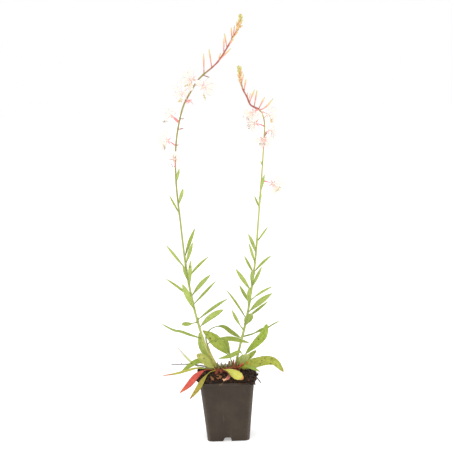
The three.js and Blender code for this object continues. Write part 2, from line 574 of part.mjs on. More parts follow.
// Blooms: stem, height of the joint, mouth, way the petals fan, way it faces, way the stamens hang
const BLOOMS = {
  left_1: { stem: LEFT, at: 568, mouth: [-40, 2, 570], fan: [-0.35, 0.1, 0.94], face: [-0.3, -0.95, 0],
    hang: [-0.5, -0.4, -0.8], petals: [-72, -24, 24, 195] },
  left_2: { stem: LEFT, at: 562, mouth: [-23, 2, 559], fan: [0.95, 0, 0.25], face: [0.2, -0.9, -0.3],
    hang: [0, -0.3, -1], petals: [-120, -36, 10, 56] },
  left_3: { stem: LEFT, at: 546, mouth: [-54, 6, 550], fan: [-0.45, 0.3, 0.9], face: [-0.7, -0.6, -0.1],
    hang: [0, -0.2, -1], petals: [-72, -24, 24, 110] },
  left_4: { stem: LEFT, at: 504, mouth: [-74, -2, 515], fan: [-0.2, 0, 1], face: [-0.6, -0.75, 0.1],
    hang: [-0.5, -0.2, -0.8], fat: 1.8, size: 0.85 },
  left_5: { stem: LEFT, at: 468, mouth: [-81, -8, 477], fan: [-1, 0, 0.15], face: [-0.15, -0.95, 0.1],
    hang: [-0.3, -0.2, -0.9] },
  left_6: { stem: LEFT, at: 434, mouth: [-72, -11, 448], fan: [0.6, 0, 0.8], face: [0.1, -0.95, 0.1],
    hang: [-0.3, -0.4, -0.8], size: 0.85 },
  right_1: { stem: RIGHT, at: 522, mouth: [55, -12, 518], fan: [-0.25, -0.2, -1], face: [-0.3, -0.95, 0.1],
    hang: [-0.9, -0.3, -0.5] },
  right_2: { stem: RIGHT, at: 517, mouth: [76, 5, 513], fan: [0.9, 0.4, 0.1], face: [0.6, -0.75, 0.1],
    hang: [0.1, -0.3, -0.9] },
  right_3: { stem: RIGHT, at: 494, mouth: [57, -1, 500], fan: [-1, 0.1, -0.05], face: [-0.25, -0.95, 0],
    hang: [-0.95, -0.3, -0.35] },
  right_4: { stem: RIGHT, at: 482, mouth: [79, 9, 488], fan: [0.6, 0.4, -0.5], face: [0.8, -0.5, 0.3],
    hang: [-0.2, 0, -1], size: 0.9 },
  right_5: { stem: RIGHT, at: 458, mouth: [69, -5, 475], fan: [0.05, -0.1, -1], face: [0, -1, 0.15],
    hang: [-0.35, -0.6, -0.8], petals: [-82, -28, 28, 82] },
  right_6: { stem: RIGHT, at: 409, mouth: [82, 4, 404], fan: [0.9, 0, -0.35], face: [0.3, -0.9, 0],
    hang: [0.5, -0.3, -0.8] },
};
const SPENT = { stem: LEFT, at: 535, mouth: [-43, 1, 538], fan: [0.2, 0, 1], face: [0.6, -0.5, 0.4],
  hang: [0, 0, -1], splay: 1.4 };

function readyBloom(given) {
  const out = v(...given.face).normalize();
  const fan = v(...given.fan);
  fan.addScaledVector(out, -fan.dot(out)).normalize();
  const hang = v(...given.hang).normalize();
  return { ...given, out, fan, hang, across: fan.clone().cross(out).normalize(),
    root: pointAt(given.stem, given.at), mouth: v(...given.mouth) };
}

// The whole plant in its pot
const stems = [LEFT, RIGHT];
const stemHoles = joined(stems.map((stem) => greenTube(stem, GAP)));
const crownHole = crown(GAP);
const rachisHoles = joined(stems.flatMap((stem) => [rachisTube(stem, GAP), greenTube(stem, GAP)]));

addMesh("pot", pot(), COLOURS.pot, 0.55);
addMesh("soil", soil().subtract(crownHole).subtract(stemHoles), COLOURS.soil, 0.95);
addMesh("crown", crown().subtract(stemHoles), COLOURS.crown, 0.8);
leafyStem("stem_left", LEFT, LEFT_LEAVES);
leafyStem("stem_right", RIGHT, RIGHT_LEAVES);
spike("spike_left", LEFT, LEFT_BUDS, tipBuds(LEFT, 636, 13, 10));
spike("spike_right", RIGHT, RIGHT_BUDS, tipBuds(RIGHT, 565, 10, 8));
for (const [name, leaf] of Object.entries(CROWN_LEAVES)) {
  const outside = v(...leaf.root);
  const knot = KNOTS.reduce((a, b) => (a.distanceTo(outside) < b.distanceTo(outside) ? a : b));
  const whole = blade({ ...leaf, root: outside.lerp(knot, SUNK_ROOT), tip: v(...leaf.tip) });
  addMesh(name, whole.subtract(crownHole).subtract(stemHoles), OLD_LEAVES[name] ?? COLOURS.leaf, 0.6);
}
for (const [name, given] of Object.entries(BLOOMS)) {
  const bloom = readyBloom(given);
  addMesh(`calyx_${name}`, calyx(bloom).subtract(rachisHoles), COLOURS.calyx, 0.6);
  addMesh(`petals_${name}`, corolla(bloom), COLOURS.petal, 0.5);
}
addMesh("calyx_spent", calyx(readyBloom(SPENT)).subtract(rachisHoles), COLOURS.calyx, 0.6);

export default group;
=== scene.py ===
import math

import bmesh
import bpy
import numpy as np
from mathutils import Matrix, Vector, noise


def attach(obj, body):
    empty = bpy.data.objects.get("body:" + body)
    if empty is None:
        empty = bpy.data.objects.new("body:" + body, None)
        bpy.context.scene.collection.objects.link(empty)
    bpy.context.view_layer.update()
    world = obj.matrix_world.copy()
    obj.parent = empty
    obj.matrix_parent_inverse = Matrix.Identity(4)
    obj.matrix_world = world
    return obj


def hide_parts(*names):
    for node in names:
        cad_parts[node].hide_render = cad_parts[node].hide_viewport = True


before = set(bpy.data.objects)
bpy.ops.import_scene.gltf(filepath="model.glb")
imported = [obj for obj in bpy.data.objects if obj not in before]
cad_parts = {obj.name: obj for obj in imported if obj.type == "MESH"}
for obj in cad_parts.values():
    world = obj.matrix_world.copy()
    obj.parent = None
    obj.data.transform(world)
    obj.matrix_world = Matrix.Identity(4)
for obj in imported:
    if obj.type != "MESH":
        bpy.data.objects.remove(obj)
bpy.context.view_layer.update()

MM = 0.001
UP = np.array([0.0, 0.0, 1.0])
GOLDEN_TURN = 2.4
rng = np.random.default_rng(2026)

# Sizes shared with the CAD part
POT_HEIGHT = 97
RIM_WIDTH = 90
FOOT_WIDTH = 67
COLLAR_HEIGHT = 5
COLLAR_STEP = 1.8
WALL = 1.5
CORNER = 9
SKIRT = 6.5
BASE_PLATE = 2
BODY_TOP = POT_HEIGHT - COLLAR_HEIGHT
NOTCH_FOOT = (-9.8, 5.2)
NOTCH_TOP = (-5.4, 3.5)
NOTCH_HEIGHT = 6.2
DRAIN_RADIUS = 4
DRAIN_RING = 17
SOIL_TOP = 106
SOIL_EDGE = 97.5
CROWN_HEIGHT = 108
STEM_FOOT = 82
GAP = 0.3
PETAL_LENGTH = 15
PETAL_WIDTH = 8
PETAL_TURNS = (-72, -24, 24, 72)
SEPAL_LENGTH = 9
SEPAL_WIDTH = 2
SEPAL_TURNS = (-125, -55, 55, 125)
STAMEN_LENGTH = 14
DISC_FROM = 1.1
DISC_TO = 3.4


def vec(*numbers):
    return np.array(numbers, float)


def unit(a):
    return a / np.linalg.norm(a)


def lerp(a, b, share):
    return a + (b - a) * share


def smooth(low, high, x):
    share = np.clip((x - low) / (high - low), 0, 1)
    return share * share * (3 - 2 * share)


def turned(a, axis, angle):
    """The direction a turned about a unit axis."""
    c = math.cos(angle)
    s = math.sin(angle)
    return a * c + np.cross(axis, a) * s + axis * float(axis @ a) * (1 - c)


def relief(points, size, octaves=3, seed=0.0):
    """Smooth noise between about -1 and 1 at each point, for lumps of a given size."""
    shift = Vector((seed * 17.3, seed * 5.1, seed * 29.7))
    return np.array([noise.fractal(Vector(p) / size + shift, 1.0, 2.0, octaves) for p in points])


# Lines in space
class Curve:
    """A smooth line through points: a centripetal Catmull-Rom, as in the CAD part."""

    def __init__(self, points):
        self.points = [np.array(p, float) for p in points]

    def at(self, share):
        points = self.points
        count = len(points)
        place = min(max(share, 0.0), 1.0) * (count - 1)
        index = min(int(place), count - 2)
        weight = place - index
        p1 = points[index]
        p2 = points[index + 1]
        p0 = points[index - 1] if index > 0 else 2 * points[0] - points[1]
        p3 = points[index + 2] if index + 2 < count else 2 * points[-1] - points[-2]
        d0 = math.sqrt(np.linalg.norm(p1 - p0))
        d1 = math.sqrt(np.linalg.norm(p2 - p1))
        d2 = math.sqrt(np.linalg.norm(p3 - p2))
        t1 = ((p1 - p0) / d0 - (p2 - p0) / (d0 + d1) + (p2 - p1) / d1) * d1
        t2 = ((p2 - p1) / d1 - (p3 - p1) / (d1 + d2) + (p3 - p2) / d2) * d1
        square = weight * weight
        cube = square * weight
        bend = 3 * (p2 - p1) - 2 * t1 - t2
        return p1 + t1 * weight + bend * square + (2 * (p1 - p2) + t1 + t2) * cube

    def heading(self, share):
        return unit(self.at(min(share + 1e-4, 1.0)) - self.at(max(share - 1e-4, 0.0)))


class Bow(Curve):
    """A line from a to b pulled towards a middle point."""

    def __init__(self, a, middle, b):
        self.ends = (np.array(a, float), np.array(middle, float), np.array(b, float))

    def at(self, share):
        a, middle, b = self.ends
        rest = 1 - share
        return rest * rest * a + 2 * rest * share * middle + share * share * b


# Closed surfaces
class Part:
    """Points, faces and a few numbers per point that the materials read."""

    def __init__(self, points, faces, material=0, along=0.0, across=0.0, under=0.0, seed=0.0):
        self.points = np.asarray(points, float)
        self.faces = faces
        self.material = material
        count = len(self.points)
        given = {"along": along, "across": across, "under": under, "seed": seed}
        self.marks = {name: np.broadcast_to(value, count) for name, value in given.items()}


def ring_faces(rows, sides):
    """Faces over rings that follow each other, with both ends closed."""
    faces = []
    for i in range(rows - 1):
        for j in range(sides):
            a = i * sides + j
            b = i * sides + (j + 1) % sides
            faces.append((a, b, b + sides, a + sides))
    faces.append(tuple(range(sides - 1, -1, -1)))
    last = (rows - 1) * sides
    faces.append(tuple(range(last, last + sides)))
    return faces


def tube(points, radii, sides=8, material=0, seed=0.0, rough=0.0, grain=1.5):
    """A round skin along points; rough is the height of its relief, grain the size of its lumps."""
    points = [np.asarray(p, float) for p in points]
    count = len(points)
    start = points[1] - points[0]
    across = UP if abs(start[0]) > abs(start[2]) else vec(1, 0, 0)
    turns = np.arange(sides) * 2 * math.pi / sides
    rows = []
    for i in range(count):
        along = unit(points[min(i + 1, count - 1)] - points[max(i - 1, 0)])
        across = unit(across - along * float(across @ along))
        other = np.cross(along, across)
        spokes = np.outer(np.cos(turns), across) + np.outer(np.sin(turns), other)
        ring = points[i] + spokes * radii[i]
        if rough:
            ring = ring + spokes * (rough * relief(ring, grain, 3, seed))[:, None]
        rows.append(ring)
    share = np.repeat(np.linspace(0, 1, count), sides)
    angle = np.tile(turns / math.pi - 1, count)
    return Part(np.concatenate(rows), ring_faces(count, sides), material, share, angle, 0.0, seed)


def line_tube(line, profile, rows, sides, **given):
    """A tube along a line; profile is a list of (share, radius)."""
    shares = np.linspace(0, 1, rows)
    return tube([line.at(s) for s in shares], np.interp(shares, *zip(*profile)), sides, **given)


def spindle(start, end, profile, sides=8, rows=9, bend=(0, 0, 0), **given):
    """A tapered round body from start to end; profile is a list of (share, radius)."""
    start = np.asarray(start, float)
    end = np.asarray(end, float)
    line = Bow(start, (start + end) / 2 + np.array(bend, float), end)
    return line_tube(line, profile, rows, sides, **given)


LEAF = dict(bend=(0, 0, 0), through=None, level=None, roll=0, fold=0.18, wave=0, teeth=0, stalk=0.1,
            foot=0.8, peak=1.05, full=0.9, steps=5, rows=26, columns=9, thick=0.42, petiole=1.7,
            rib=0.35, lumps=0.12, notch=0.0, frill=0.0)
TEETH = 9
TOOTH_SLANT = 1.6
WAVE_STEP = 1.9
FRILLS = 19
LUMP_SIZE = 4.0
RIB_WIDTH = 0.7
NOTCH_WIDTH = 0.22
BARE_STALK = 0.15


def half_width(leaf, share):
    """Half the width of a blade on its stalk, at a share of its length."""
    narrow = lerp(leaf["foot"], 0.25, share)
    if share <= leaf["stalk"]:
        return narrow
    along = (share - leaf["stalk"]) / (1 - leaf["stalk"])
    return narrow + (leaf["width"] / 2 - 0.5) * math.sin(math.pi * along ** leaf["peak"]) ** leaf["full"]


def blade_lift(leaf, outs, share, half, beyond, seed):
    """How far a row of a blade is lifted by its fold, its waves and its frilled edge."""
    size = np.abs(outs)
    swing = np.sin(share * (leaf["steps"] - 1) * WAVE_STEP + np.where(outs > 0, 0, 2))
    ripple = 2 * leaf["wave"] * swing * size * (half / leaf["width"])
    frill = leaf["frill"] * size ** 3 * np.sin(share * FRILLS + outs * 2 + seed * 40) * beyond
    soft = np.sqrt(size * size + 0.012) - 0.11
    return leaf["fold"] * half * soft + ripple + frill


def blade_row(leaf, midrib, level, outs, share, seed):
    """One ring round a blade: the upper face from edge to edge, then the lower one back."""
    size = np.abs(outs)
    along = midrib.heading(share)
    side = turned(unit(level - along * float(level @ along)), along, math.radians(leaf["roll"]))
    face = np.cross(along, side)
    half = half_width(leaf, share)
    beyond = smooth(leaf["stalk"], leaf["stalk"] + BARE_STALK, share)
    if leaf["teeth"]:
        saw = (share * TEETH) % 1.0
        half *= 1 + leaf["teeth"] * (saw - 0.5) * TOOTH_SLANT * beyond
    lift = blade_lift(leaf, outs, share, half, beyond, seed)
    back = leaf["notch"] * np.exp(-((outs / NOTCH_WIDTH) ** 2)) * smooth(0.9, 1.0, share)
    line = midrib.at(share) + np.outer(outs * half, side) + np.outer(lift, face)
    line = line - np.outer(back, along)
    if leaf["lumps"]:
        bumps = leaf["lumps"] * beyond * relief(line, LUMP_SIZE, 2, seed)
        line = line + np.outer(bumps, face)
    core = np.exp(-((outs * half / RIB_WIDTH) ** 2))
    body = lerp(leaf["petiole"] / 2, leaf["thick"] / 2, beyond) * (1 - 0.35 * share)
    edge = 1 - size ** 4
    upper = body * edge
    lower = body * edge + leaf["rib"] * core * (1 - 0.7 * share) * beyond * edge
    below = (line - np.outer(lower, face))[::-1][1:-1]
    return np.concatenate([line + np.outer(upper, face), below])


def blade(root, tip, material=0, seed=0.0, **given):
    """A leaf or petal as a thin closed skin round its midrib, thicker at the midrib and the stalk."""
    leaf = {**LEAF, **given}
    root = np.asarray(root, float)
    tip = np.asarray(tip, float)
    if leaf["through"]:
        midrib = Curve([root, *leaf["through"], tip])
    else:
        midrib = Bow(root, (root + tip) / 2 + np.array(leaf["bend"], float), tip)
    outward = tip - root
    outward[2] = 0
    level = leaf["level"] if leaf["level"] is not None else np.cross(UP, unit(outward))
    outs = np.linspace(1, -1, leaf["columns"])
    shares = np.array([i / (leaf["rows"] - 1) for i in range(leaf["rows"])])
    rings = [blade_row(leaf, midrib, level, outs, float(share), seed) for share in shares]
    across = np.concatenate([outs, outs[::-1][1:-1]])
    under = np.concatenate([np.abs(outs) ** 8 * 0.5, np.ones(leaf["columns"] - 2)])
    sides = len(across)
    return Part(np.concatenate(rings), ring_faces(leaf["rows"], sides), material,
                np.repeat(shares, sides), np.tile(across, len(rings)), np.tile(under, len(rings)), seed)


def square_ring(width, corner, height, steps=10):
    """A ring with rounded corners at a height, counter-clockwise from above."""
    ring = []
    reach = (width / 2 - corner) * math.sqrt(2)
    for side in range(4):
        quarter = math.pi / 2 * (side + 0.5)
        for k in range(steps + 1):
            turn = math.pi / 2 * (side + k / steps)
            x = reach * math.cos(quarter) + corner * math.cos(turn)
            y = reach * math.sin(quarter) + corner * math.sin(turn)
            ring.append((x, y, height))
    return np.array(ring)


def body_width(z):
    return lerp(FOOT_WIDTH, RIM_WIDTH - 2 * COLLAR_STEP - 1.2, z / BODY_TOP)


# Materials
class Shader:
    """One material's nodes behind short calls, each of which gives back a socket."""

    def __init__(self, name):
        self.material = bpy.data.materials.new(name)
        self.material.use_nodes = True
        self.nodes = self.material.node_tree.nodes
        self.links = self.material.node_tree.links
        self.surface = self.nodes["Principled BSDF"]
        self.place = self.nodes.new("ShaderNodeTexCoord").outputs["Object"]

    def feed(self, socket, value):
        if isinstance(value, bpy.types.NodeSocket):
            self.links.new(value, socket)
        else:
            socket.default_value = value

    def mark(self, name):
        node = self.nodes.new("ShaderNodeAttribute")
        node.attribute_name = name
        return node.outputs["Fac"]

    def math(self, operation, a, b=0.0, c=0.0):
        node = self.nodes.new("ShaderNodeMath")
        node.operation = operation
        for socket, value in zip(node.inputs, (a, b, c)):
            self.feed(socket, value)
        return node.outputs[0]

    def times(self, a, b):
        return self.math("MULTIPLY", a, b)

    def plus(self, a, b):
        return self.math("ADD", a, b)

    def minus(self, a, b):
        return self.math("SUBTRACT", a, b)

    def size(self, a):
        return self.math("ABSOLUTE", a)

    def drift(self, value, cloud, amount):
        """value pushed up and down by a noise."""
        return self.plus(value, self.times(self.minus(cloud, 0.5), amount))

    def over(self, colour, other, share, amount=1.0):
        """colour with another laid over it, as far as share and amount say."""
        if amount < 1:
            share = self.times(share, amount)
        return self.mix(share, colour, other)

    def band(self, value, low, high, to_low=0.0, to_high=1.0):
        """value mapped from low..high to to_low..to_high, eased at both ends."""
        node = self.nodes.new("ShaderNodeMapRange")
        node.interpolation_type = "SMOOTHSTEP"
        for socket, given in zip(node.inputs, (value, low, high, to_low, to_high)):
            self.feed(socket, given)
        return node.outputs[0]

    def stretched(self, stretch):
        node = self.nodes.new("ShaderNodeMapping")
        node.inputs["Scale"].default_value = stretch
        self.links.new(self.place, node.inputs["Vector"])
        return node.outputs[0]

    def noise(self, millimetres, detail=4.0, roughness=0.55, stretch=(1, 1, 1), distortion=0.0):
        """Noise with features of about that many millimetres."""
        node = self.nodes.new("ShaderNodeTexNoise")
        self.links.new(self.stretched(stretch), node.inputs["Vector"])
        node.inputs["Scale"].default_value = 1000.0 / millimetres
        node.inputs["Detail"].default_value = detail
        node.inputs["Roughness"].default_value = roughness
        node.inputs["Distortion"].default_value = distortion
        return node.outputs["Fac"]

    def cells(self, millimetres, stretch=(1, 1, 1)):
        node = self.nodes.new("ShaderNodeTexVoronoi")
        self.links.new(self.stretched(stretch), node.inputs["Vector"])
        node.inputs["Scale"].default_value = 1000.0 / millimetres
        return node.outputs["Distance"]

    def freckles(self, spots, squeeze=0.4):
        """1 inside ragged spots, each (x, y, z, radius) in millimetres, drawn out from front to back."""
        flat = self.nodes.new("ShaderNodeVectorMath")
        flat.operation = "MULTIPLY"
        self.links.new(self.place, flat.inputs[0])
        flat.inputs[1].default_value = (1.0, squeeze, 1.0)
        ragged = self.noise(1.1, 3.0)
        total = None
        for x, y, z, radius in spots:
            reach = self.nodes.new("ShaderNodeVectorMath")
            reach.operation = "DISTANCE"
            self.links.new(flat.outputs[0], reach.inputs[0])
            reach.inputs[1].default_value = (x * MM, y * squeeze * MM, z * MM)
            edge = self.math("MULTIPLY_ADD", ragged, radius * MM, reach.outputs["Value"])
            spot = self.band(edge, 1.7 * radius * MM, 1.35 * radius * MM)
            total = spot if total is None else self.math("MAXIMUM", total, spot)
        return total

    def mix(self, share, a, b):
        node = self.nodes.new("ShaderNodeMix")
        node.data_type = "RGBA"
        self.feed(node.inputs[0], share)
        for socket, value in ((node.inputs[6], a), (node.inputs[7], b)):
            self.feed(socket, value if isinstance(value, bpy.types.NodeSocket) else (*value, 1.0))
        return node.outputs[2]

    def ramp(self, value, stops):
        node = self.nodes.new("ShaderNodeValToRGB")
        self.links.new(value, node.inputs[0])
        elements = node.color_ramp.elements
        while len(elements) < len(stops):
            elements.new(0.5)
        for element, (place, colour) in zip(elements, stops):
            element.position = place
            element.color = (*colour, 1.0)
        return node.outputs["Color"]

    def bump(self, height, millimetres, strength=1.0, below=None):
        node = self.nodes.new("ShaderNodeBump")
        node.inputs["Strength"].default_value = strength
        node.inputs["Distance"].default_value = millimetres * MM
        self.links.new(height, node.inputs["Height"])
        if below is not None:
            self.links.new(below, node.inputs["Normal"])
        return node.outputs["Normal"]

    def finish(self, colour, roughness, normal=None, specular=0.5, glow=0.0, glow_depth=1.0):
        """glow is the share of light that passes under the skin, as in a thin leaf."""
        self.feed(self.surface.inputs["Base Color"], colour)
        self.feed(self.surface.inputs["Roughness"], roughness)
        if normal is not None:
            self.links.new(normal, self.surface.inputs["Normal"])
        self.surface.inputs["Specular IOR Level"].default_value = specular
        self.surface.inputs["Subsurface Weight"].default_value = glow
        self.surface.inputs["Subsurface Radius"].default_value = (1.0, 0.8, 0.5)
        self.surface.inputs["Subsurface Scale"].default_value = glow_depth * MM
        return self.material


DARK_SPOTS = [(-29.4, 12.5, 163.6, 0.8), (-24.9, 10.7, 157.3, 1.6), (-16, 10.8, 151.9, 1.1),
              (-14.3, 6.5, 141, 1.0), (-35.4, -11.5, 129.8, 1.2), (-42.3, -14.3, 134.8, 0.8),
              (52.1, 2.9, 155.2, 1.3), (61.1, -3.9, 156.4, 1.0), (56.3, -18.3, 125.2, 1.1),
              (61.3, -18.4, 128.6, 0.9), (72.4, -23, 129.4, 1.1), (53.2, -21.3, 121, 0.9),
              (-55.7, 0.9, 119.2, 1.1), (-52.7, -27.5, 280.4, 1.5)]
RED_SPOTS = [(-28.1, 9.4, 132, 1.5), (34, -5, 118.6, 1.6)]
SPECK = (0.10, 0.035, 0.02)
DARK_SPOT = (0.15, 0.055, 0.028)
RED_SPOT = (0.62, 0.12, 0.05)
VEINS = 15.0
VEIN_SLANT = 2.6


def leaf_veins(s, along, out):
    """The midrib and the side veins that slant towards the tip."""
    midrib = s.band(out, 0.03, 0.13, 1.0, 0.0)
    ladder = s.minus(s.times(along, VEINS), s.times(out, VEIN_SLANT))
    saw = s.size(s.minus(s.math("FRACT", ladder), 0.5))
    branch = s.times(s.band(saw, 0.04, 0.16, 1.0, 0.0), s.band(out, 0.75, 1.0, 1.0, 0.0))
    return s.math("MAXIMUM", s.times(midrib, 0.75), s.times(branch, 0.3))


def leaf_material(name, low, high, edge, tip, tip_from=0.9, root=None, root_to=0.15, root_from=0.02,
                  pale=None, vein=None, spots=0.0, patches=0.0, patch=None, gloss=0.42, dark_and_shaded=None,
                  placed=False, foot=None):
    """A leaf: mottled blade, lighter veins, its own edge and tip colours, spots and a pale back.

    deep is the colour that leaves marked dark go towards, foot the one where a long stalk starts;
    placed adds the spots seen in the photo."""
    s = Shader(name)
    along = s.mark("along")
    out = s.size(s.mark("across"))
    mottle = s.noise(5.0, 5.0, 0.6)
    fine = s.noise(0.7, 3.0, 0.6)
    colour = s.mix(s.band(mottle, 0.35, 0.68), low, high)
    colour = s.over(colour, high, s.band(fine, 0.4, 0.75), 0.22)
    # Leaves marked dark go towards a darker green: partly their own tone, partly painted shade on leaves
    # that lie in shadow.
    colour = s.over(colour, dark_and_shaded or low, s.band(s.mark("seed"), 0.0, 1.0), 0.6 if dark_and_shaded else 0.35)
    if patches:
        blotch = s.band(s.noise(7.0, 3.0, 0.5, distortion=1.0), 0.62 - 0.2 * patches, 0.72)
        colour = s.over(colour, patch, blotch, 0.85)
    lines = leaf_veins(s, along, out)
    colour = s.over(colour, vein or high, lines)
    colour = s.over(colour, edge, s.band(out, 0.72, 1.0), 0.55)
    if root:
        colour = s.over(colour, root, s.band(along, root_from, root_to, 1.0, 0.0))
    if foot:
        colour = s.over(colour, foot, s.band(along, 0.20, 0.34, 1.0, 0.0))
    end = s.drift(along, mottle, 0.16)
    end = s.plus(end, s.times(s.math("POWER", out, 3.0), 0.05))
    colour = s.over(colour, tip, s.band(end, tip_from - 0.05, tip_from + 0.05))
    if spots:
        dots = s.band(s.cells(5.0), 0.28 + 0.08 * spots, 0.18 + 0.08 * spots)
        sparse = s.band(s.noise(9.0, 2.0), 0.62 - 0.16 * spots, 0.70 - 0.12 * spots)
        colour = s.over(colour, SPECK, s.times(dots, sparse), 0.9)
    colour = s.over(colour, pale or high, s.mark("under"), 0.3)
    if placed:
        colour = s.over(colour, DARK_SPOT, s.freckles(DARK_SPOTS), 0.75)
        colour = s.over(colour, RED_SPOT, s.freckles(RED_SPOTS), 0.85)
    roughness = s.band(mottle, 0.3, 0.7, gloss - 0.06, gloss + 0.14)
    height = s.minus(s.times(fine, 0.35), s.times(lines, 0.9))
    return s.finish(colour, roughness, s.bump(height, 0.16, 0.6), 0.4, glow=0.22, glow_depth=1.2)


def pot_material():
    """Dark moulded plastic with smears, scratches and dust, worn paler corners with a painted highlight
    on them, and painted shade under the rim.
    """
    s = Shader("pot_plastic")
    worn = (0.125, 0.098, 0.074)
    cloud = s.noise(28.0, 4.0, 0.5)
    smear = s.noise(9.0, 5.0, 0.65, stretch=(1.0, 1.0, 0.18))
    scratch = s.noise(1.6, 3.0, 0.5, stretch=(1.0, 1.0, 0.07), distortion=0.4)
    colour = s.mix(s.band(cloud, 0.3, 0.7), (0.030, 0.0195, 0.011), (0.045, 0.0305, 0.0185))
    colour = s.over(colour, worn, s.band(smear, 0.56, 0.78), 0.32)
    scuff = s.times(s.band(scratch, 0.66, 0.74), s.band(cloud, 0.5, 0.62))
    colour = s.over(colour, worn, scuff, 0.55)
    # The under mark brings the worn rim and foot, and the paler corners that are partly a painted
    # highlight.
    wear = s.times(s.mark("under"), s.band(s.noise(3.0, 4.0), 0.35, 0.7))
    colour = s.over(colour, worn, wear, 0.45)
    place = s.nodes.new("ShaderNodeSeparateXYZ")
    s.links.new(s.place, place.inputs[0])
    # Painted highlight: a pale band down each rounded corner, where light catches the curve.
    to_corner = s.minus(s.size(place.outputs["X"]), s.size(place.outputs["Y"]))
    ridge = s.band(s.size(to_corner), 0.5 * MM, 6.5 * MM, 1.0, 0.0)
    ridge = s.times(ridge, s.band(s.noise(6.0, 4.0), 0.2, 0.7, 0.25, 0.8))
    colour = s.over(colour, (0.088, 0.066, 0.050), ridge)
    # Painted shade: the plastic darkens from halfway up towards the rim, under the collar.
    shade_under_rim = s.band(place.outputs["Z"], 62 * MM, 90 * MM)
    colour = s.over(colour, (0.022, 0.014, 0.008), shade_under_rim, 0.3)
    dust = s.times(s.band(s.mark("along"), 0.80, 1.0), s.band(s.noise(1.2, 5.0), 0.55, 0.75))
    colour = s.over(colour, (0.10, 0.075, 0.05), dust, 0.4)
    normal = s.bump(s.noise(0.35, 2.0, 0.5), 0.05, 0.35)
    normal = s.bump(s.noise(16.0, 2.0, 0.4), 0.5, 0.35, below=normal)
    normal = s.bump(scratch, 0.08, 0.3, below=normal)
    return s.finish(colour, s.band(smear, 0.3, 0.75, 0.36, 0.58), normal, specular=0.28)


def peat_material(name, stops, bump_size):
    s = Shader(name)
    coarse = s.noise(3.2, 6.0, 0.65)
    colour = s.ramp(s.plus(s.times(coarse, 0.7), s.times(s.mark("seed"), 0.42)), stops)
    fleck = s.times(s.band(s.cells(1.7), 0.16, 0.06), s.band(s.noise(4.0, 2.0), 0.55, 0.68))
    colour = s.over(colour, (0.16, 0.085, 0.045), fleck, 0.6)
    normal = s.bump(s.noise(0.6, 4.0, 0.6), bump_size * 0.4, 0.8)
    normal = s.bump(coarse, bump_size, 0.8, below=normal)
    return s.finish(colour, s.band(coarse, 0.3, 0.7, 0.62, 0.95), normal, specular=0.2)


def bark_material():
    """Red-brown bark in streaks, with pale wood where a stub is cut."""
    s = Shader("crown_bark")
    streak = s.noise(1.4, 5.0, 0.6, stretch=(1.0, 1.0, 0.4), distortion=0.6)
    patch = s.noise(4.5, 3.0, 0.5)
    colour = s.ramp(streak, [(0.25, (0.045, 0.009, 0.006)), (0.42, (0.19, 0.030, 0.016)),
                             (0.57, (0.36, 0.085, 0.036)), (0.72, (0.56, 0.24, 0.10))])
    colour = s.over(colour, (0.05, 0.022, 0.014), s.band(patch, 0.5, 0.66), 0.5)
    cut = s.times(s.band(s.mark("along"), 0.94, 0.99), s.mark("under"))
    colour = s.over(colour, (0.42, 0.27, 0.15), cut)
    return s.finish(colour, s.band(patch, 0.3, 0.7, 0.5, 0.8), s.bump(streak, 0.5, 0.9), specular=0.4)


def stalk_material(name, foot, middle, top, streak_colour, foot_to=0.12, top_from=0.7, top_to=1.0,
                   end=None):
    """A stem whose colour changes from foot to top, with long streaks and small pores."""
    s = Shader(name)
    along = s.mark("along")
    streak = s.noise(1.1, 4.0, 0.6, stretch=(1.0, 1.0, 0.08))
    colour = s.mix(s.band(along, 0.0, foot_to), foot, middle)
    colour = s.over(colour, top, s.band(along, top_from, top_to))
    if end:
        colour = s.over(colour, end, s.band(along, 0.78, 0.95))
    colour = s.over(colour, streak_colour, s.band(streak, 0.5, 0.75), 0.5)
    pores = s.band(s.cells(1.6, stretch=(1, 1, 0.5)), 0.14, 0.05)
    colour = s.over(colour, (0.55, 0.50, 0.25), pores, 0.35)
    roughness = s.band(streak, 0.3, 0.7, 0.4, 0.58)
    return s.finish(colour, roughness, s.bump(streak, 0.25, 0.7), 0.4, glow=0.15, glow_depth=0.8)


def bud_material():
    """Buds go from dull brown at the foot over pink to olive yellow, the young ones sooner."""
    s = Shader("bud_skin")
    streak = s.noise(0.9, 3.0, 0.55, stretch=(1.0, 1.0, 0.25))
    shift = s.plus(s.drift(s.mark("along"), streak, 0.25), s.times(s.mark("seed"), 0.75))
    colour = s.ramp(shift, [(0.04, (0.42, 0.20, 0.12)), (0.20, (0.66, 0.22, 0.17)),
                            (0.50, (0.80, 0.34, 0.24)), (0.76, (0.82, 0.52, 0.27)),
                            (1.0, (0.64, 0.59, 0.21))])
    ridge = s.size(s.math("SINE", s.times(s.mark("across"), 12.57)))
    normal = s.bump(streak, 0.12, 0.6, below=s.bump(ridge, 0.12, 0.5))
    return s.finish(colour, s.band(streak, 0.3, 0.7, 0.38, 0.55), normal, 0.4, glow=0.2, glow_depth=0.8)


def calyx_material():
    s = Shader("calyx_skin")
    streak = s.noise(0.8, 3.0, 0.55, stretch=(1.0, 1.0, 0.5))
    along = s.drift(s.mark("along"), streak, 0.3)
    colour = s.ramp(along, [(0.02, (0.50, 0.30, 0.16)), (0.25, (0.80, 0.24, 0.25)),
                            (0.60, (0.86, 0.33, 0.36)), (0.92, (0.90, 0.58, 0.52))])
    colour = s.over(colour, (0.95, 0.70, 0.66), s.mark("under"), 0.35)
    colour = s.over(colour, (0.92, 0.70, 0.62), s.mark("seed"), 0.75)
    roughness = s.band(streak, 0.3, 0.7, 0.42, 0.58)
    return s.finish(colour, roughness, s.bump(streak, 0.12, 0.6), 0.35, glow=0.3, glow_depth=1.0)


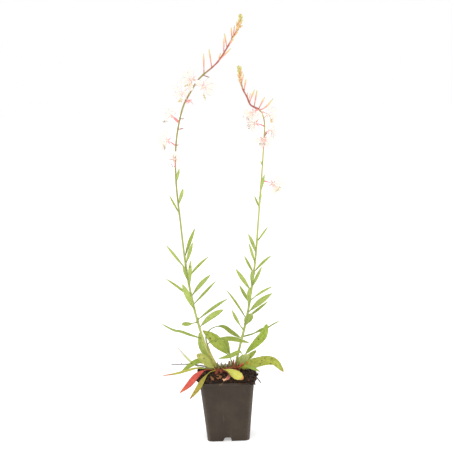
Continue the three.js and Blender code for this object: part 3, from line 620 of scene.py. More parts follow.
def petal_material():
    """White petals: pink where they join, faint pink veins that fan out; seed makes one creamy."""
    s = Shader("petal_skin")
    along = s.mark("along")
    across = s.mark("across")
    cloud = s.noise(4.0, 3.0, 0.5)
    silk = s.noise(0.5, 3.0, 0.6)
    colour = s.mix(s.band(cloud, 0.35, 0.7), (0.80, 0.755, 0.70), (0.83, 0.73, 0.68))
    colour = s.over(colour, (0.82, 0.66, 0.60), s.mark("seed"), 0.8)
    fan = s.size(s.math("SINE", s.times(across, 15.7)))
    veins = s.times(s.band(fan, 0.0, 0.35, 1.0, 0.0), s.band(along, 0.95, 0.2))
    colour = s.over(colour, (0.90, 0.60, 0.58), veins, 0.16)
    blush = s.band(s.drift(along, cloud, 0.2), 0.04, 0.34, 0.75, 0.0)
    colour = s.over(colour, (0.88, 0.42, 0.42), blush)
    colour = s.over(colour, (0.93, 0.72, 0.69), s.band(s.size(across), 0.7, 1.0), 0.14)
    height = s.plus(s.times(silk, 0.4), s.times(fan, 0.5))
    roughness = s.band(silk, 0.3, 0.7, 0.48, 0.66)
    return s.finish(colour, roughness, s.bump(height, 0.10, 0.5), 0.3, glow=0.35, glow_depth=1.5)


def filament_material():
    s = Shader("filament_skin")
    silk = s.noise(0.6, 3.0, 0.6)
    colour = s.ramp(s.drift(s.mark("along"), silk, 0.2),
                    [(0.0, (0.86, 0.62, 0.55)), (0.5, (0.93, 0.84, 0.74)), (1.0, (0.90, 0.80, 0.66))])
    roughness = s.band(silk, 0.3, 0.7, 0.45, 0.6)
    return s.finish(colour, roughness, s.bump(silk, 0.05, 0.5), 0.35, glow=0.25, glow_depth=0.6)


def anther_material(name, pale, dark):
    s = Shader(name)
    pollen = s.noise(0.45, 4.0, 0.65)
    colour = s.mix(s.band(pollen, 0.38, 0.66), dark, pale)
    colour = s.over(colour, dark, s.band(s.size(s.mark("across")), 0.12, 0.02), 0.5)
    return s.finish(colour, s.band(pollen, 0.3, 0.7, 0.7, 0.92), s.bump(pollen, 0.12, 0.8), 0.25)


def litter_material(name, low, high):
    s = Shader(name)
    crease = s.noise(1.2, 5.0, 0.6, distortion=0.8)
    colour = s.mix(s.band(crease, 0.35, 0.68), low, high)
    colour = s.over(colour, high, s.mark("under"), 0.3)
    return s.finish(colour, s.band(crease, 0.3, 0.7, 0.6, 0.85), s.bump(crease, 0.3, 0.8), 0.3)


PALE_GREEN = (0.42, 0.52, 0.17)
YELLOW = (0.62, 0.55, 0.07)
BROWN = (0.33, 0.14, 0.03)
ORANGE = (0.62, 0.26, 0.05)

PEAT_STOPS = [(0.28, (0.003, 0.0015, 0.001)), (0.48, (0.018, 0.009, 0.005)),
              (0.66, (0.070, 0.033, 0.018)), (0.92, (0.260, 0.135, 0.062))]
FIBRE_STOPS = [(0.25, (0.030, 0.016, 0.010)), (0.50, (0.10, 0.052, 0.030)),
               (0.75, (0.24, 0.14, 0.075)), (0.98, (0.46, 0.32, 0.17))]

MATERIALS = {
    "pot": pot_material(),
    "peat": peat_material("peat", PEAT_STOPS, 0.9),
    "fibre": peat_material("peat_fibre", FIBRE_STOPS, 0.2),
    "bark": bark_material(),
    "curl": litter_material("dry_curl", (0.13, 0.038, 0.013), (0.46, 0.19, 0.07)),
    "red_bract": litter_material("red_bract", (0.66, 0.075, 0.045), (0.88, 0.22, 0.12)),
    "olive_stub": litter_material("olive_stub", (0.13, 0.095, 0.03), (0.34, 0.27, 0.11)),
    "dark_stalk": litter_material("dark_stalk", (0.045, 0.018, 0.022), (0.16, 0.085, 0.085)),
    "sprout": leaf_material("sprout_leaf", (0.13, 0.16, 0.045), (0.30, 0.34, 0.12), (0.3, 0.24, 0.09),
                            (0.25, 0.10, 0.04), 0.8, root=(0.30, 0.09, 0.05), root_to=0.4),
    "stalk_left": stalk_material("left_stalk", (0.76, 0.58, 0.20), (0.41, 0.46, 0.11),
                                 (0.33, 0.34, 0.090), (0.25, 0.29, 0.06), 0.42, 0.55, 0.95),
    "stalk_right": stalk_material("right_stalk", (0.36, 0.34, 0.09), (0.42, 0.47, 0.12),
                                  (0.50, 0.49, 0.18), (0.32, 0.35, 0.08)),
    "rachis_left": stalk_material("rachis_left", (0.34, 0.33, 0.085), (0.33, 0.28, 0.07),
                                  (0.44, 0.12, 0.085), (0.24, 0.13, 0.05), 0.25, 0.44, 0.55,
                                  (0.62, 0.45, 0.18)),
    "rachis_right": stalk_material("rachis_right", (0.52, 0.50, 0.19), (0.46, 0.40, 0.15),
                                   (0.42, 0.10, 0.075), (0.36, 0.20, 0.08), 0.3, 0.32, 0.41,
                                   (0.56, 0.46, 0.16)),
    "bud": bud_material(),
    "stub": litter_material("dry_stub", (0.20, 0.035, 0.045), (0.50, 0.17, 0.16)),
    "calyx": calyx_material(),
    "petal": petal_material(),
    "filament": filament_material(),
    "anther_yellow": anther_material("anther_yellow", (0.80, 0.70, 0.32), (0.55, 0.42, 0.15)),
    "anther_grey": anther_material("anther_grey", (0.60, 0.54, 0.48), (0.36, 0.31, 0.28)),
    "leaf": leaf_material("stem_leaf", (0.27, 0.36, 0.045), (0.42, 0.51, 0.11), (0.36, 0.44, 0.08),
                          ORANGE, 1.3, root=(0.19, 0.23, 0.035), root_to=0.35, pale=PALE_GREEN,
                          dark_and_shaded=(0.15, 0.22, 0.025), placed=True),
    "leaf_long": leaf_material("long_stalked_leaf", (0.19, 0.26, 0.028), (0.34, 0.41, 0.075),
                               (0.34, 0.40, 0.07), ORANGE, 1.3, root=(0.20, 0.26, 0.040), root_to=0.72,
                               root_from=0.5, pale=PALE_GREEN, foot=(0.50, 0.45, 0.11)),
    "leaf_spotted": leaf_material("spotted_leaf", (0.235, 0.325, 0.030), (0.40, 0.475, 0.085),
                                  (0.34, 0.38, 0.06), BROWN, 0.985, root=(0.27, 0.26, 0.04),
                                  root_to=0.3, pale=PALE_GREEN, spots=0.3, placed=True),
    "leaf_plain": leaf_material("plain_leaf", (0.225, 0.335, 0.028), (0.39, 0.49, 0.080),
                                (0.32, 0.40, 0.06), BROWN, 1.3, root=(0.24, 0.26, 0.04),
                                root_to=0.2, pale=PALE_GREEN, spots=0.25, placed=True),
    "leaf_light": leaf_material("light_leaf", (0.29, 0.385, 0.065), (0.47, 0.55, 0.16),
                                (0.42, 0.46, 0.12), ORANGE, 1.3, pale=PALE_GREEN, spots=0.1,
                                placed=True),
    "leaf_toothed": leaf_material("toothed_leaf", (0.34, 0.39, 0.060), (0.52, 0.54, 0.15),
                                  (0.50, 0.42, 0.11), (0.46, 0.20, 0.05), 0.97, pale=PALE_GREEN,
                                  spots=0.15, placed=True),
    "leaf_tipped": leaf_material("tipped_leaf", (0.235, 0.295, 0.026), (0.43, 0.46, 0.075),
                                 (0.42, 0.42, 0.08), (0.36, 0.15, 0.04), 0.985, pale=PALE_GREEN,
                                 spots=0.3, patches=0.2, patch=YELLOW, placed=True),
    "leaf_pale": leaf_material("pale_leaf", (0.43, 0.51, 0.14), (0.58, 0.64, 0.25),
                               (0.45, 0.50, 0.15), (0.45, 0.33, 0.10), 0.95, pale=(0.54, 0.60, 0.26),
                               spots=0.1),
    "leaf_thin": leaf_material("thin_leaf", (0.36, 0.38, 0.04), (0.52, 0.49, 0.08),
                               (0.50, 0.36, 0.05), (0.55, 0.20, 0.08), 0.84, root=(0.33, 0.38, 0.05),
                               root_to=0.3, pale=(0.56, 0.52, 0.15)),
    "leaf_ghost": leaf_material("ghost_leaf", (0.55, 0.62, 0.20), (0.74, 0.76, 0.42),
                                (0.80, 0.80, 0.58), (0.86, 0.78, 0.70), 0.75, pale=(0.80, 0.80, 0.55)),
    "leaf_red": leaf_material("red_leaf", (0.56, 0.060, 0.042), (0.76, 0.140, 0.095),
                              (0.50, 0.05, 0.035), (0.66, 0.12, 0.04), 0.86,
                              root=(0.23, 0.012, 0.018), root_to=0.4, pale=(0.70, 0.20, 0.13),
                              vein=(0.68, 0.15, 0.10), gloss=0.48),
    "leaf_olive": leaf_material("olive_leaf", (0.27, 0.25, 0.025), (0.41, 0.36, 0.040),
                                (0.40, 0.25, 0.04), (0.33, 0.13, 0.015), 0.93,
                                root=(0.42, 0.44, 0.06), root_to=0.4, pale=(0.48, 0.42, 0.10),
                                patches=0.6, patch=(0.38, 0.20, 0.035), spots=0.2, gloss=0.5),
    "leaf_yellow": leaf_material("yellow_leaf", (0.56, 0.56, 0.075), (0.74, 0.71, 0.17),
                                 (0.62, 0.45, 0.07), (0.60, 0.20, 0.06), 0.95,
                                 root=(0.38, 0.43, 0.07), root_to=0.15, pale=(0.68, 0.65, 0.18),
                                 gloss=0.5),
    "leaf_curled": leaf_material("curled_leaf", (0.52, 0.09, 0.09), (0.74, 0.30, 0.20),
                                 (0.72, 0.34, 0.20), (0.82, 0.45, 0.24), 0.72,
                                 root=(0.17, 0.014, 0.030), root_to=0.70, root_from=0.35,
                                 pale=(0.80, 0.36, 0.24)),
}


def add_object(name, data):
    thing = bpy.data.objects.new(name, data)
    bpy.context.scene.collection.objects.link(thing)
    return thing


def make_piece(name, parts, materials, node):
    """One mesh from closed parts; it stands for a CAD node and rides with the only body."""
    counts = np.cumsum([0] + [len(part.points) for part in parts])
    faces = []
    indices = []
    for part, start in zip(parts, counts):
        shift = int(start)
        faces.extend(tuple(i + shift for i in face) for face in part.faces)
        indices.extend([part.material] * len(part.faces))
    mesh = bpy.data.meshes.new(name)
    mesh.from_pydata((np.concatenate([part.points for part in parts]) * MM).tolist(), [], faces)
    for mark in ("along", "across", "under", "seed"):
        values = np.concatenate([part.marks[mark] for part in parts]).astype(np.float32)
        mesh.attributes.new(mark, "FLOAT", "POINT").data.foreach_set("value", values)
    for key in materials:
        mesh.materials.append(MATERIALS[key])
    mesh.polygons.foreach_set("material_index", indices)
    mesh.polygons.foreach_set("use_smooth", [True] * len(faces))
    mesh.update()
    thing = add_object(name, mesh)
    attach(thing, "root")
    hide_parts(node)
    return thing


# The pot
def pot_shell():
    """The pot as one closed skin: up the outside, over the rim and down the inside."""
    outline = []

    def add(width, corner, z, worn=0.0):
        outline.append((width, corner, z, worn))

    def wall(z, inset, worn=0.0):
        add(body_width(z) - 2 * inset, CORNER - inset, z, worn)

    wall(SKIRT, WALL)
    wall(0.5, WALL)
    wall(0.0, WALL - 0.5, 1.0)
    wall(0.0, 0.5, 1.0)
    wall(0.2, 0.12, 1.0)
    wall(0.7, 0.0, 0.6)
    for z in np.linspace(2.5, BODY_TOP - 1.2, 26):
        wall(float(z), 0.0)
    wall(BODY_TOP - 0.25, 0.0)
    add(body_width(BODY_TOP) + 0.5, CORNER + 0.2, BODY_TOP + 0.05)
    add(RIM_WIDTH - 2.2, CORNER + 0.9, BODY_TOP + 0.3, 0.4)
    add(RIM_WIDTH - 1.6, CORNER + 1, BODY_TOP + 0.9, 0.8)
    for z in np.linspace(BODY_TOP + 2, POT_HEIGHT - 1.6, 6):
        add(lerp(RIM_WIDTH - 1.5, RIM_WIDTH, (z - BODY_TOP) / COLLAR_HEIGHT), CORNER + 1, float(z))
    add(RIM_WIDTH, CORNER + 1, POT_HEIGHT - 0.9, 0.7)
    add(RIM_WIDTH - 0.3, CORNER + 0.9, POT_HEIGHT - 0.3, 1.0)
    add(RIM_WIDTH - 0.9, CORNER + 0.6, POT_HEIGHT, 1.0)
    inner = body_width(POT_HEIGHT) - 2 * WALL
    add(inner + 0.8, CORNER - WALL + 0.4, POT_HEIGHT, 1.0)
    add(inner + 0.1, CORNER - WALL, POT_HEIGHT - 0.4, 0.6)
    for z in (POT_HEIGHT - 3, 60, 30, SKIRT + BASE_PLATE):
        wall(float(z), WALL)
    rings = []
    worn = []
    for width, corner, z, wear in outline:
        ring = square_ring(width, corner, z, 12)
        bow = 0.45 * math.sin(math.pi * min(max(z / BODY_TOP, 0), 1))
        reach = np.abs(ring[:, :2]).max(1)
        flat = 1 - np.abs(ring[:, :2]).min(1) / reach
        ring[:, :2] *= (1 - bow * np.clip(flat, 0, 1)[:, None] / reach[:, None])
        # Paler corners: wear, and partly a painted highlight on the rounded corners.
        corner_wear_and_highlight = smooth(0.70, 0.95, np.abs(ring[:, :2]).min(1) / reach) * 0.55
        rings.append(ring)
        worn.append(np.maximum(wear, corner_wear_and_highlight))
    sides = len(rings[0])
    points = np.concatenate(rings)
    height = np.clip(points[:, 2] / POT_HEIGHT, 0, 1)
    return Part(points, ring_faces(len(rings), sides), along=height, under=np.concatenate(worn))


def cutter(points, faces):
    mesh = bpy.data.meshes.new("cutter")
    mesh.from_pydata([tuple(p * MM) for p in points], [], faces)
    return add_object("cutter", mesh)


def notch_cutter(quarter):
    """A long wedge that opens the skirt of two opposite walls."""
    long = FOOT_WIDTH / 2 + 10
    left, right = NOTCH_TOP
    section = [(left - 0.7, NOTCH_HEIGHT - 0.9), (left + 0.5, NOTCH_HEIGHT), (right - 0.8, NOTCH_HEIGHT),
               (right + 0.1, NOTCH_HEIGHT - 0.9), (NOTCH_FOOT[1], -1), (NOTCH_FOOT[0], -1)]
    points = [vec(x, -long, z) for x, z in section] + [vec(x, long, z) for x, z in section]
    if quarter:
        points = [vec(-p[1], p[0], p[2]) for p in points]
    return cutter(points, ring_faces(2, len(section)))


def drain_cutter(x, y):
    turns = np.linspace(0, 2 * math.pi, 24, endpoint=False)
    ring = [vec(x + DRAIN_RADIUS * math.cos(t), y + DRAIN_RADIUS * math.sin(t), 0) for t in turns]
    low = [p + vec(0, 0, SKIRT - 6) for p in ring]
    high = [p + vec(0, 0, SKIRT + 6) for p in ring]
    return cutter(low + high, ring_faces(2, len(ring)))


def make_pot():
    pot = make_piece("nursery_pot", [pot_shell()], ["pot"], "pot")
    cutters = [notch_cutter(False), notch_cutter(True)]
    cutters += [drain_cutter(x * DRAIN_RING, y * DRAIN_RING)
                for x, y in ((0, 0), (1, 1), (1, -1), (-1, 1), (-1, -1))]
    for tool in cutters:
        cut = pot.modifiers.new("cut", "BOOLEAN")
        cut.operation = "DIFFERENCE"
        cut.solver = "EXACT"
        cut.object = tool
    bpy.context.view_layer.update()
    graph = bpy.context.evaluated_depsgraph_get()
    carved = bpy.data.meshes.new_from_object(pot.evaluated_get(graph))
    pot.modifiers.clear()
    old = pot.data
    pot.data = carved
    bpy.data.meshes.remove(old)
    for tool in cutters:
        mesh = tool.data
        bpy.data.objects.remove(tool)
        bpy.data.meshes.remove(mesh)
    carved.name = "nursery_pot"
    soften(carved, 32)
    return pot


def soften(mesh, degrees):
    """Smooth shading that stops at edges sharper than the given angle."""
    sharp = math.radians(degrees)
    form = bmesh.new()
    form.from_mesh(mesh)
    for edge in form.edges:
        if len(edge.link_faces) == 2:
            edge.smooth = edge.calc_face_angle(0.0) < sharp
    form.to_mesh(mesh)
    form.free()


# The soil
PEAT, STRAW, DRY_LEAF = range(3)
SPILL = 1.09
HEAP = 5
MOUND = [(0.04, 1.0), (0.22, 0.97), (0.46, 0.87), (0.68, 0.72), (0.88, 0.5), (0.99, 0.3), (1.0, 0.0)]
MOUND_SIDES = 176
MOUND_RINGS = 52
SOIL_FRONT = square_ring(RIM_WIDTH - 3, CORNER + 5, 0, MOUND_SIDES // 4 - 1)
SOIL_BACK = square_ring(RIM_WIDTH - 3, CORNER + 15, 0, MOUND_SIDES // 4 - 1)
SOIL_RING = np.where(SOIL_FRONT[:, 1:2] > 0, SOIL_BACK, SOIL_FRONT)


def soil_ring_even():
    """The mound's outline as evenly spaced points."""
    closed = np.vstack([SOIL_RING, SOIL_RING[:1]])
    steps = np.linalg.norm(np.diff(closed, axis=0), axis=1)
    far = np.concatenate([[0], np.cumsum(steps)])
    wanted = np.linspace(0, far[-1], MOUND_SIDES, endpoint=False)
    return np.column_stack([np.interp(wanted, far, closed[:, k]) for k in range(3)])


SOIL_OUTLINE = soil_ring_even()


def mound_point(turn, spread):
    """A point on the peat: turn is 0 to 1 round it, spread 0 at the middle to 1 at the edge."""
    place = (turn % 1.0) * MOUND_SIDES
    index = int(place) % MOUND_SIDES
    edge = lerp(SOIL_OUTLINE[index], SOIL_OUTLINE[(index + 1) % MOUND_SIDES], place - int(place))
    rise = float(np.interp(spread, *zip(*MOUND)))
    past = 1 + (SPILL - 1) * smooth(26, 34, abs(edge[0])) * smooth(0.9, 0.98, spread)
    x = edge[0] * spread * past
    y = edge[1] * spread
    across = math.exp(-(((y - 16) / 15) ** 2)) * (1 + 0.6 * smooth(12, 18, x) - 0.06 * max(0.0, x - 18))
    heaped = HEAP * across * min(1.0, 3 * (1 - rise)) * smooth(0.999, 0.988, spread)
    lump = 0.9 * noise.fractal(Vector((x, y, 3.0)) / 7.0, 1.0, 2.0, 4)
    return vec(x, y, lerp(SOIL_EDGE, SOIL_TOP, rise) + heaped + lump * (0.35 + 0.65 * rise))


def soil_body():
    inset = WALL + GAP
    rings = []
    for z in (SKIRT + BASE_PLATE + GAP, 50, POT_HEIGHT - 2, POT_HEIGHT + GAP):
        width = body_width(z) - 2 * inset
        ring = SOIL_OUTLINE * vec(width / (RIM_WIDTH - 3), width / (RIM_WIDTH - 3), 1)
        ring[:, 2] = z
        rings.append(ring)
    for spread in np.linspace(1.0, 0.03, MOUND_RINGS) ** 0.85:
        ring = np.array([mound_point(k / MOUND_SIDES, float(spread)) for k in range(MOUND_SIDES)])
        outward = ring * vec(1, 1, 0)
        outward /= np.linalg.norm(outward, axis=1)[:, None] + 1e-9
        crumble = relief(ring, 2.2, 3, 4.0)
        ring = ring + outward * (0.55 * crumble)[:, None]
        ring[:, 2] += 0.7 * relief(ring, 1.6, 3, 9.0)
        rings.append(ring)
    points = np.concatenate(rings)
    return Part(points, ring_faces(len(rings), MOUND_SIDES), PEAT, seed=0.35)


def ball(subdivisions):
    """Points and faces of a ball with a radius of 1."""
    form = bmesh.new()
    bmesh.ops.create_icosphere(form, subdivisions=subdivisions, radius=1.0)
    points = np.array([v.co for v in form.verts], float)
    faces = [tuple(v.index for v in f.verts) for f in form.faces]
    form.free()
    return points, faces


BALL = ball(2)
CLOD_HEIGHT = 0.75


def clod(centre, size, seed, material=PEAT, shade=None):
    """A crumb of peat: a ball pushed in and out, flattened and turned."""
    points, faces = BALL
    shape = points * (1 + 0.42 * relief(points, 0.8, 3, seed))[:, None]
    shape = shape * np.array([1.0, rng.uniform(0.6, 1.1), CLOD_HEIGHT * rng.uniform(0.7, 1.1)])
    turn = Matrix.Rotation(rng.uniform(0, 6.28), 3, "Z") @ Matrix.Rotation(rng.uniform(-0.6, 0.6), 3, "X")
    shape = shape @ np.array(turn).T * size + centre
    shade = rng.uniform(0, 0.9) ** 1.6 if shade is None else shade
    return Part(shape, faces, material, seed=shade)


def fibre(start, heading, length, radius, curl=0.8, shade=None, pull=0.0):
    """A thin root or straw that wanders as it goes."""
    points = [np.asarray(start, float)]
    direction = unit(np.asarray(heading, float))
    steps = 7
    for _ in range(steps):
        direction = unit(direction + rng.normal(0, 0.22 * curl, 3) - vec(0, 0, pull))
        points.append(points[-1] + direction * length / steps)
    radii = radius * np.array([1, 1, 0.95, 0.9, 0.8, 0.7, 0.5, 0.25])
    shade = rng.uniform(0, 1) if shade is None else shade
    return tube(points, radii, 4, STRAW, shade)


CLODS = 720
EDGE_CRUMBS = 150
FIBRES = 330
FLECKS = 190
RIM_CRUMBS = 60
SIDE_CRUMBS = ((-46.0, 46), (45.6, 26))
FRONT_OF_RIM = -45.2
SPILLED = [(46.8, -10, 100.2, 2.4), (48.9, -9, 101.3, 1.9), (46.4, -3, 100.8, 2.0),
           (49.2, -7, 99.2, 1.7), (47.6, -5, 98.0, 2.1), (-47.2, -12, 100.5, 1.8), (-47.0, -4, 97.6, 1.6)]
STRAY_ROOT = [(40, -8, 101), (44.8, -9, 99.3), (47.8, -9.5, 95.6), (50.8, -10, 91.7), (54, -10, 87.1)]
# Points, width, seed and roll of each dry leaf that has curled up on the soil
CURLS = [([(-25, -31, 105), (-24, -37, 104.6), (-21, -41.5, 102), (-20, -37, 103.6)], 3.6, 0.2, 30),
         ([(-16, -26, 105.5), (-10, -31, 105.4), (-12, -38, 103.6), (-17, -35, 104.6)], 4.4, 0.6, -20)]
RIM_STRAWS = ((-12.0, 95.6, 4.0), (-9.5, 95.2, 3.4), (-8.0, 96.4, 2.4))


def surface_clods():
    parts = []
    for i in range(CLODS):
        spread = math.sqrt(rng.uniform(0.01, 1.0))
        place = mound_point(rng.uniform(0, 1), spread)
        size = 0.7 + 1.9 * rng.uniform(0, 1) ** 2.5
        parts.append(clod(place - vec(0, 0, size * 0.15), size, i * 0.37))
    return parts


def edge_crumbs():
    """Crumbs that roughen the edge of the mound."""
    parts = []
    for i in range(EDGE_CRUMBS):
        place = mound_point(rng.uniform(0, 1), rng.uniform(0.95, 1.0))
        drop = rng.uniform(-1.6, 0.4)
        size = 0.6 + 1.5 * rng.uniform(0, 1) ** 2
        inward = unit(place * vec(1, 1, 0)) * rng.uniform(0.0, 1.6)
        parts.append(clod(place - inward + vec(0, 0, drop), size, 300 + i * 0.53))
    return parts


def surface_fibres():
    parts = []
    for _ in range(FIBRES):
        spread = math.sqrt(rng.uniform(0.02, 1.0))
        place = mound_point(rng.uniform(0, 1), spread)
        heading = vec(rng.normal(), rng.normal(), rng.uniform(0.0, 0.35))
        parts.append(fibre(place - vec(0, 0, 0.5), heading, rng.uniform(4, 13),
                           rng.uniform(0.12, 0.34), shade=rng.uniform(0, 1) ** 1.8, pull=0.05))
    return parts


def flecks():
    """Small tan grains that lie on the peat."""
    parts = []
    for i in range(FLECKS):
        place = mound_point(rng.uniform(0, 1), math.sqrt(rng.uniform(0.1, 1.0)))
        size = rng.uniform(0.4, 1.15)
        parts.append(clod(place + vec(0, 0, size * 0.2), size, 500 + i * 0.41, STRAW,
                          rng.uniform(0.15, 0.95)))
    return parts


def side_crumbs():
    """Peat that has run over the rim at both sides."""
    parts = []
    for x, count in SIDE_CRUMBS:
        for i in range(count):
            place = vec(x + rng.uniform(-0.9, 0.9), rng.uniform(-24, 14), rng.uniform(94.0, 101.0))
            parts.append(clod(place, rng.uniform(0.7, 1.9), 700 + i * 0.47 + x))
    return parts


def rim_crumbs():
    """Peat that hangs over the front of the rim, lower down towards the right."""
    parts = []
    for i in range(RIM_CRUMBS):
        x = 44 - 34 * rng.uniform(0, 1) ** 1.4
        place = vec(x, FRONT_OF_RIM, 97.4 - 4.2 * smooth(12, 40, x) * rng.uniform(0, 1))
        parts.append(clod(place, rng.uniform(0.6, 1.5), 900 + i * 0.61, shade=rng.uniform(0.2, 0.8)))
    return parts


def curl_leaf(points, width, seed, roll):
    """A dry leaf that has rolled up on the soil."""
    return blade(points[0], points[-1], DRY_LEAF, seed, through=points[1:-1], width=width, fold=0.7,
                 wave=0.8, steps=9, roll=roll, stalk=0.1, thick=0.4)


def make_soil():
    parts = [soil_body(), *surface_clods(), *edge_crumbs(), *surface_fibres(), *flecks(),
             *side_crumbs(), *rim_crumbs()]
    for i, (x, y, z, size) in enumerate(SPILLED):
        parts.append(clod(vec(x, y, z), size, 800 + i * 1.3, shade=0.45))
    parts.append(tube(STRAY_ROOT, [0.95, 0.95, 0.95, 0.92, 0.8], 6, STRAW, 0.0))
    parts += [curl_leaf(*given) for given in CURLS]
    for x, z, long in RIM_STRAWS:
        start = vec(x, FRONT_OF_RIM + 0.15, z + 1.4)
        parts.append(fibre(start, vec(0.2, -0.12, -1.0), long, 0.42, curl=0.2, shade=0.95))
    return make_piece("peat_mound", parts, ["peat", "fibre", "curl"], "soil")


# The woody crown
BARK, DARK_STALK, SPROUT, CURL, RED_BRACT, OLIVE_STUB = range(6)
KNOTS = [vec(-15, -1, CROWN_HEIGHT), vec(16, 3, CROWN_HEIGHT)]
KNOT_SIZE = vec(7, 6, 5.5)
LOW = CROWN_HEIGHT - 1
RHIZOME = [(-16, -1, LOW), (-4, -4, LOW + 1), (6, -2, LOW), (17, 3, LOW)]
RIDGE = [(-8, -6, 110), (3, -8, 111.8), (14, -6, 112.2), (19, -1, 110)]
TAPROOT = [(-4, -3, LOW), (-3, -2, LOW - 12), (-4, -1, LOW - 34)]
OLD_STALK = [(-14, 2, CROWN_HEIGHT), (-24, 6, 110), (-55, 24, 111.8), (-91, 50, 106.6)]
FLARES = [[(-15, -4, 108), (-15, -10, 107.5), (-18, -17, 104.5)],
          [(-11, -4, 108), (-9, -10, 107), (-8, -16, 104.5)],
          [(13, 0, 108), (11, -8, 107.5), (6, -14, 105)]]
# Where each cut stub stands, its height and its material
STUBS = [(-22, -5, 7, BARK), (-11, -7, 6, BARK), (-5, -6, 8, BARK), (1, -7, 6, BARK),
         (6, -5, 9, OLIVE_STUB), (11, -3, 7, CURL), (22, -1, 8, BARK), (-2, 2, 9, OLIVE_STUB),
         (3.5, -4, 15, OLIVE_STUB), (6.5, -3, 14, OLIVE_STUB), (12, -4, 17, CURL),
         (14.5, -3, 14, CURL), (9.5, -2, 12, OLIVE_STUB)]
# Foot, lean, number of leaves, their length and the first turn of each young shoot
SHOOTS = [((2, -1, 108.5), (0.1, 0.0, 0), 6, 13, 0.4), ((-6, 1, 108.5), (-0.1, 0.1, 0), 5, 11, 1.7),
          ((-13, -6, 110), (-0.05, -0.1, 0), 7, 13, 0.9), ((-8, -6, 109), (0.1, -0.1, 0), 7, 14, 2.2),
          ((-4, -5, 109), (0.2, -0.1, 0), 5, 12, 4.4), ((9, 1, 109), (0.2, 0.2, 0), 5, 12, 2.9),
          ((-20, -3, 110), (-0.2, -0.3, 0), 5, 9, 3.3), ((21, 4, 110), (0.2, 0.1, 0), 5, 10, 5.0),
          ((-12, -6, 110), (0.0, -0.3, 0), 4, 8, 6.1)]
STUB_ROWS = 16
SCALES = 46


def knot(centre, seed):
    points, faces = ball(4)
    points = points * KNOT_SIZE
    outward = points / np.linalg.norm(points, axis=1)[:, None]
    points = points + outward * relief(points, 3.0, 4, seed)[:, None]
    return Part(points + centre, faces, BARK, seed=seed)


def through(points, radii, rows, sides, **given):
    """A tube along a smooth line through points, its radii eased between them."""
    known = np.linspace(0, 1, len(points))
    return line_tube(Curve(points), list(zip(known, radii)), rows, sides, **given)


def cut_stub(index, x, y, height, material):
    """The stump of an old stem, marked so that bark shows its cut end pale."""
    start = vec(x * 0.85, y * 0.6, CROWN_HEIGHT - 2)
    end = vec(x + (index % 3) - 1, y, CROWN_HEIGHT + height)
    shares = [k / (STUB_ROWS - 1) for k in range(STUB_ROWS)]
    radii = [lerp(1.7, 1.2, share) + 0.12 * math.sin(k * 2.1) for k, share in enumerate(shares)]
    radii[-1] *= 0.82
    line = [lerp(start, end, share) for share in shares]
    stub = tube(line, radii, 12, material, 0.3 * index, rough=0.22, grain=0.9)
    stub.marks["under"] = np.ones(len(stub.points))
    return stub


def scales():
    """Small papery scales and bud eyes over the knots."""
    out = []
    for i in range(SCALES):
        centre = KNOTS[i % 2]
        turn = rng.uniform(0, 2 * math.pi)
        lift = rng.uniform(0.05, 0.95)
        direction = unit(vec(math.cos(turn), math.sin(turn), lift * 1.6))
        start = centre + direction * vec(6.4, 5.4, 4.9)
        reach = unit(direction + UP * 0.9) * rng.uniform(2.2, 4.6)
        out.append(blade(start, start + reach, BARK, rng.uniform(0, 1), width=rng.uniform(1.6, 3.0),
                         rows=8, columns=5, thick=0.35, petiole=0.7, rib=0.1, fold=0.5, stalk=0.05))
    return out


def shoot(foot, lean, count, long, first_turn):
    """A tuft of small young leaves on the crown."""
    leaves = []
    for i in range(count):
        turn = i * GOLDEN_TURN + first_turn
        out = vec(math.cos(turn), math.sin(turn), 0) * rng.uniform(0.2, 0.5) + vec(*lean)
        reach = unit(out + UP * 1.1) * long * rng.uniform(0.6, 1.0)
        leaves.append(blade(foot, vec(*foot) + reach, SPROUT, rng.uniform(0, 1),
                            width=rng.uniform(1.8, 3.0), bend=(0, 0, 1.2), rows=12, columns=7,
                            thick=0.4, petiole=0.9, rib=0.15, stalk=0.25))
    return leaves


def make_crown():
    parts = [knot(KNOTS[0], 1.3), knot(KNOTS[1], 4.1)]
    parts.append(through(RHIZOME, [3.5, 3.0, 2.6, 3.5], 40, 18, rough=0.7, grain=2.2, seed=2.0))
    parts.append(through(TAPROOT, [4, 3, 1.4], 14, 10))
    parts.append(through(OLD_STALK, [1.6, 1.1, 1.0, 0.7], 60, 8, material=DARK_STALK, rough=0.16,
                         grain=2.0, seed=3.0))
    for far in (0.45, 0.6, 0.72, 0.83):
        place = Curve(OLD_STALK).at(far)
        parts.append(spindle(place, place + vec(-2.2, 0.6, 1.2), [(0, 0.8), (0.6, 0.7), (1, 0.2)], 6, 5,
                             material=DARK_STALK))
    for flare in FLARES:
        parts.append(through(flare, [4.0, 2.9, 1.4], 16, 14, rough=0.7, grain=2.0, seed=flare[2][0]))
    parts += [cut_stub(i, *stub) for i, stub in enumerate(STUBS)]
    parts.append(through(RIDGE, [2.2, 1.6, 1.6, 2.2], 40, 14, rough=0.6, grain=2.0, seed=7.0))
    parts += scales()
    for given in SHOOTS:
        parts += shoot(*given)
    parts.append(blade((18, -2, 111), (27.5, -7, 119.5), RED_BRACT, 0.3, width=3.8, bend=(1, 0, -1),
                       rows=16, columns=9, fold=0.4, level=vec(0.4, 0.2, -0.9)))
    return make_piece("woody_crown", parts,
                      ["bark", "dark_stalk", "sprout", "curl", "red_bract", "olive_stub"], "crown")


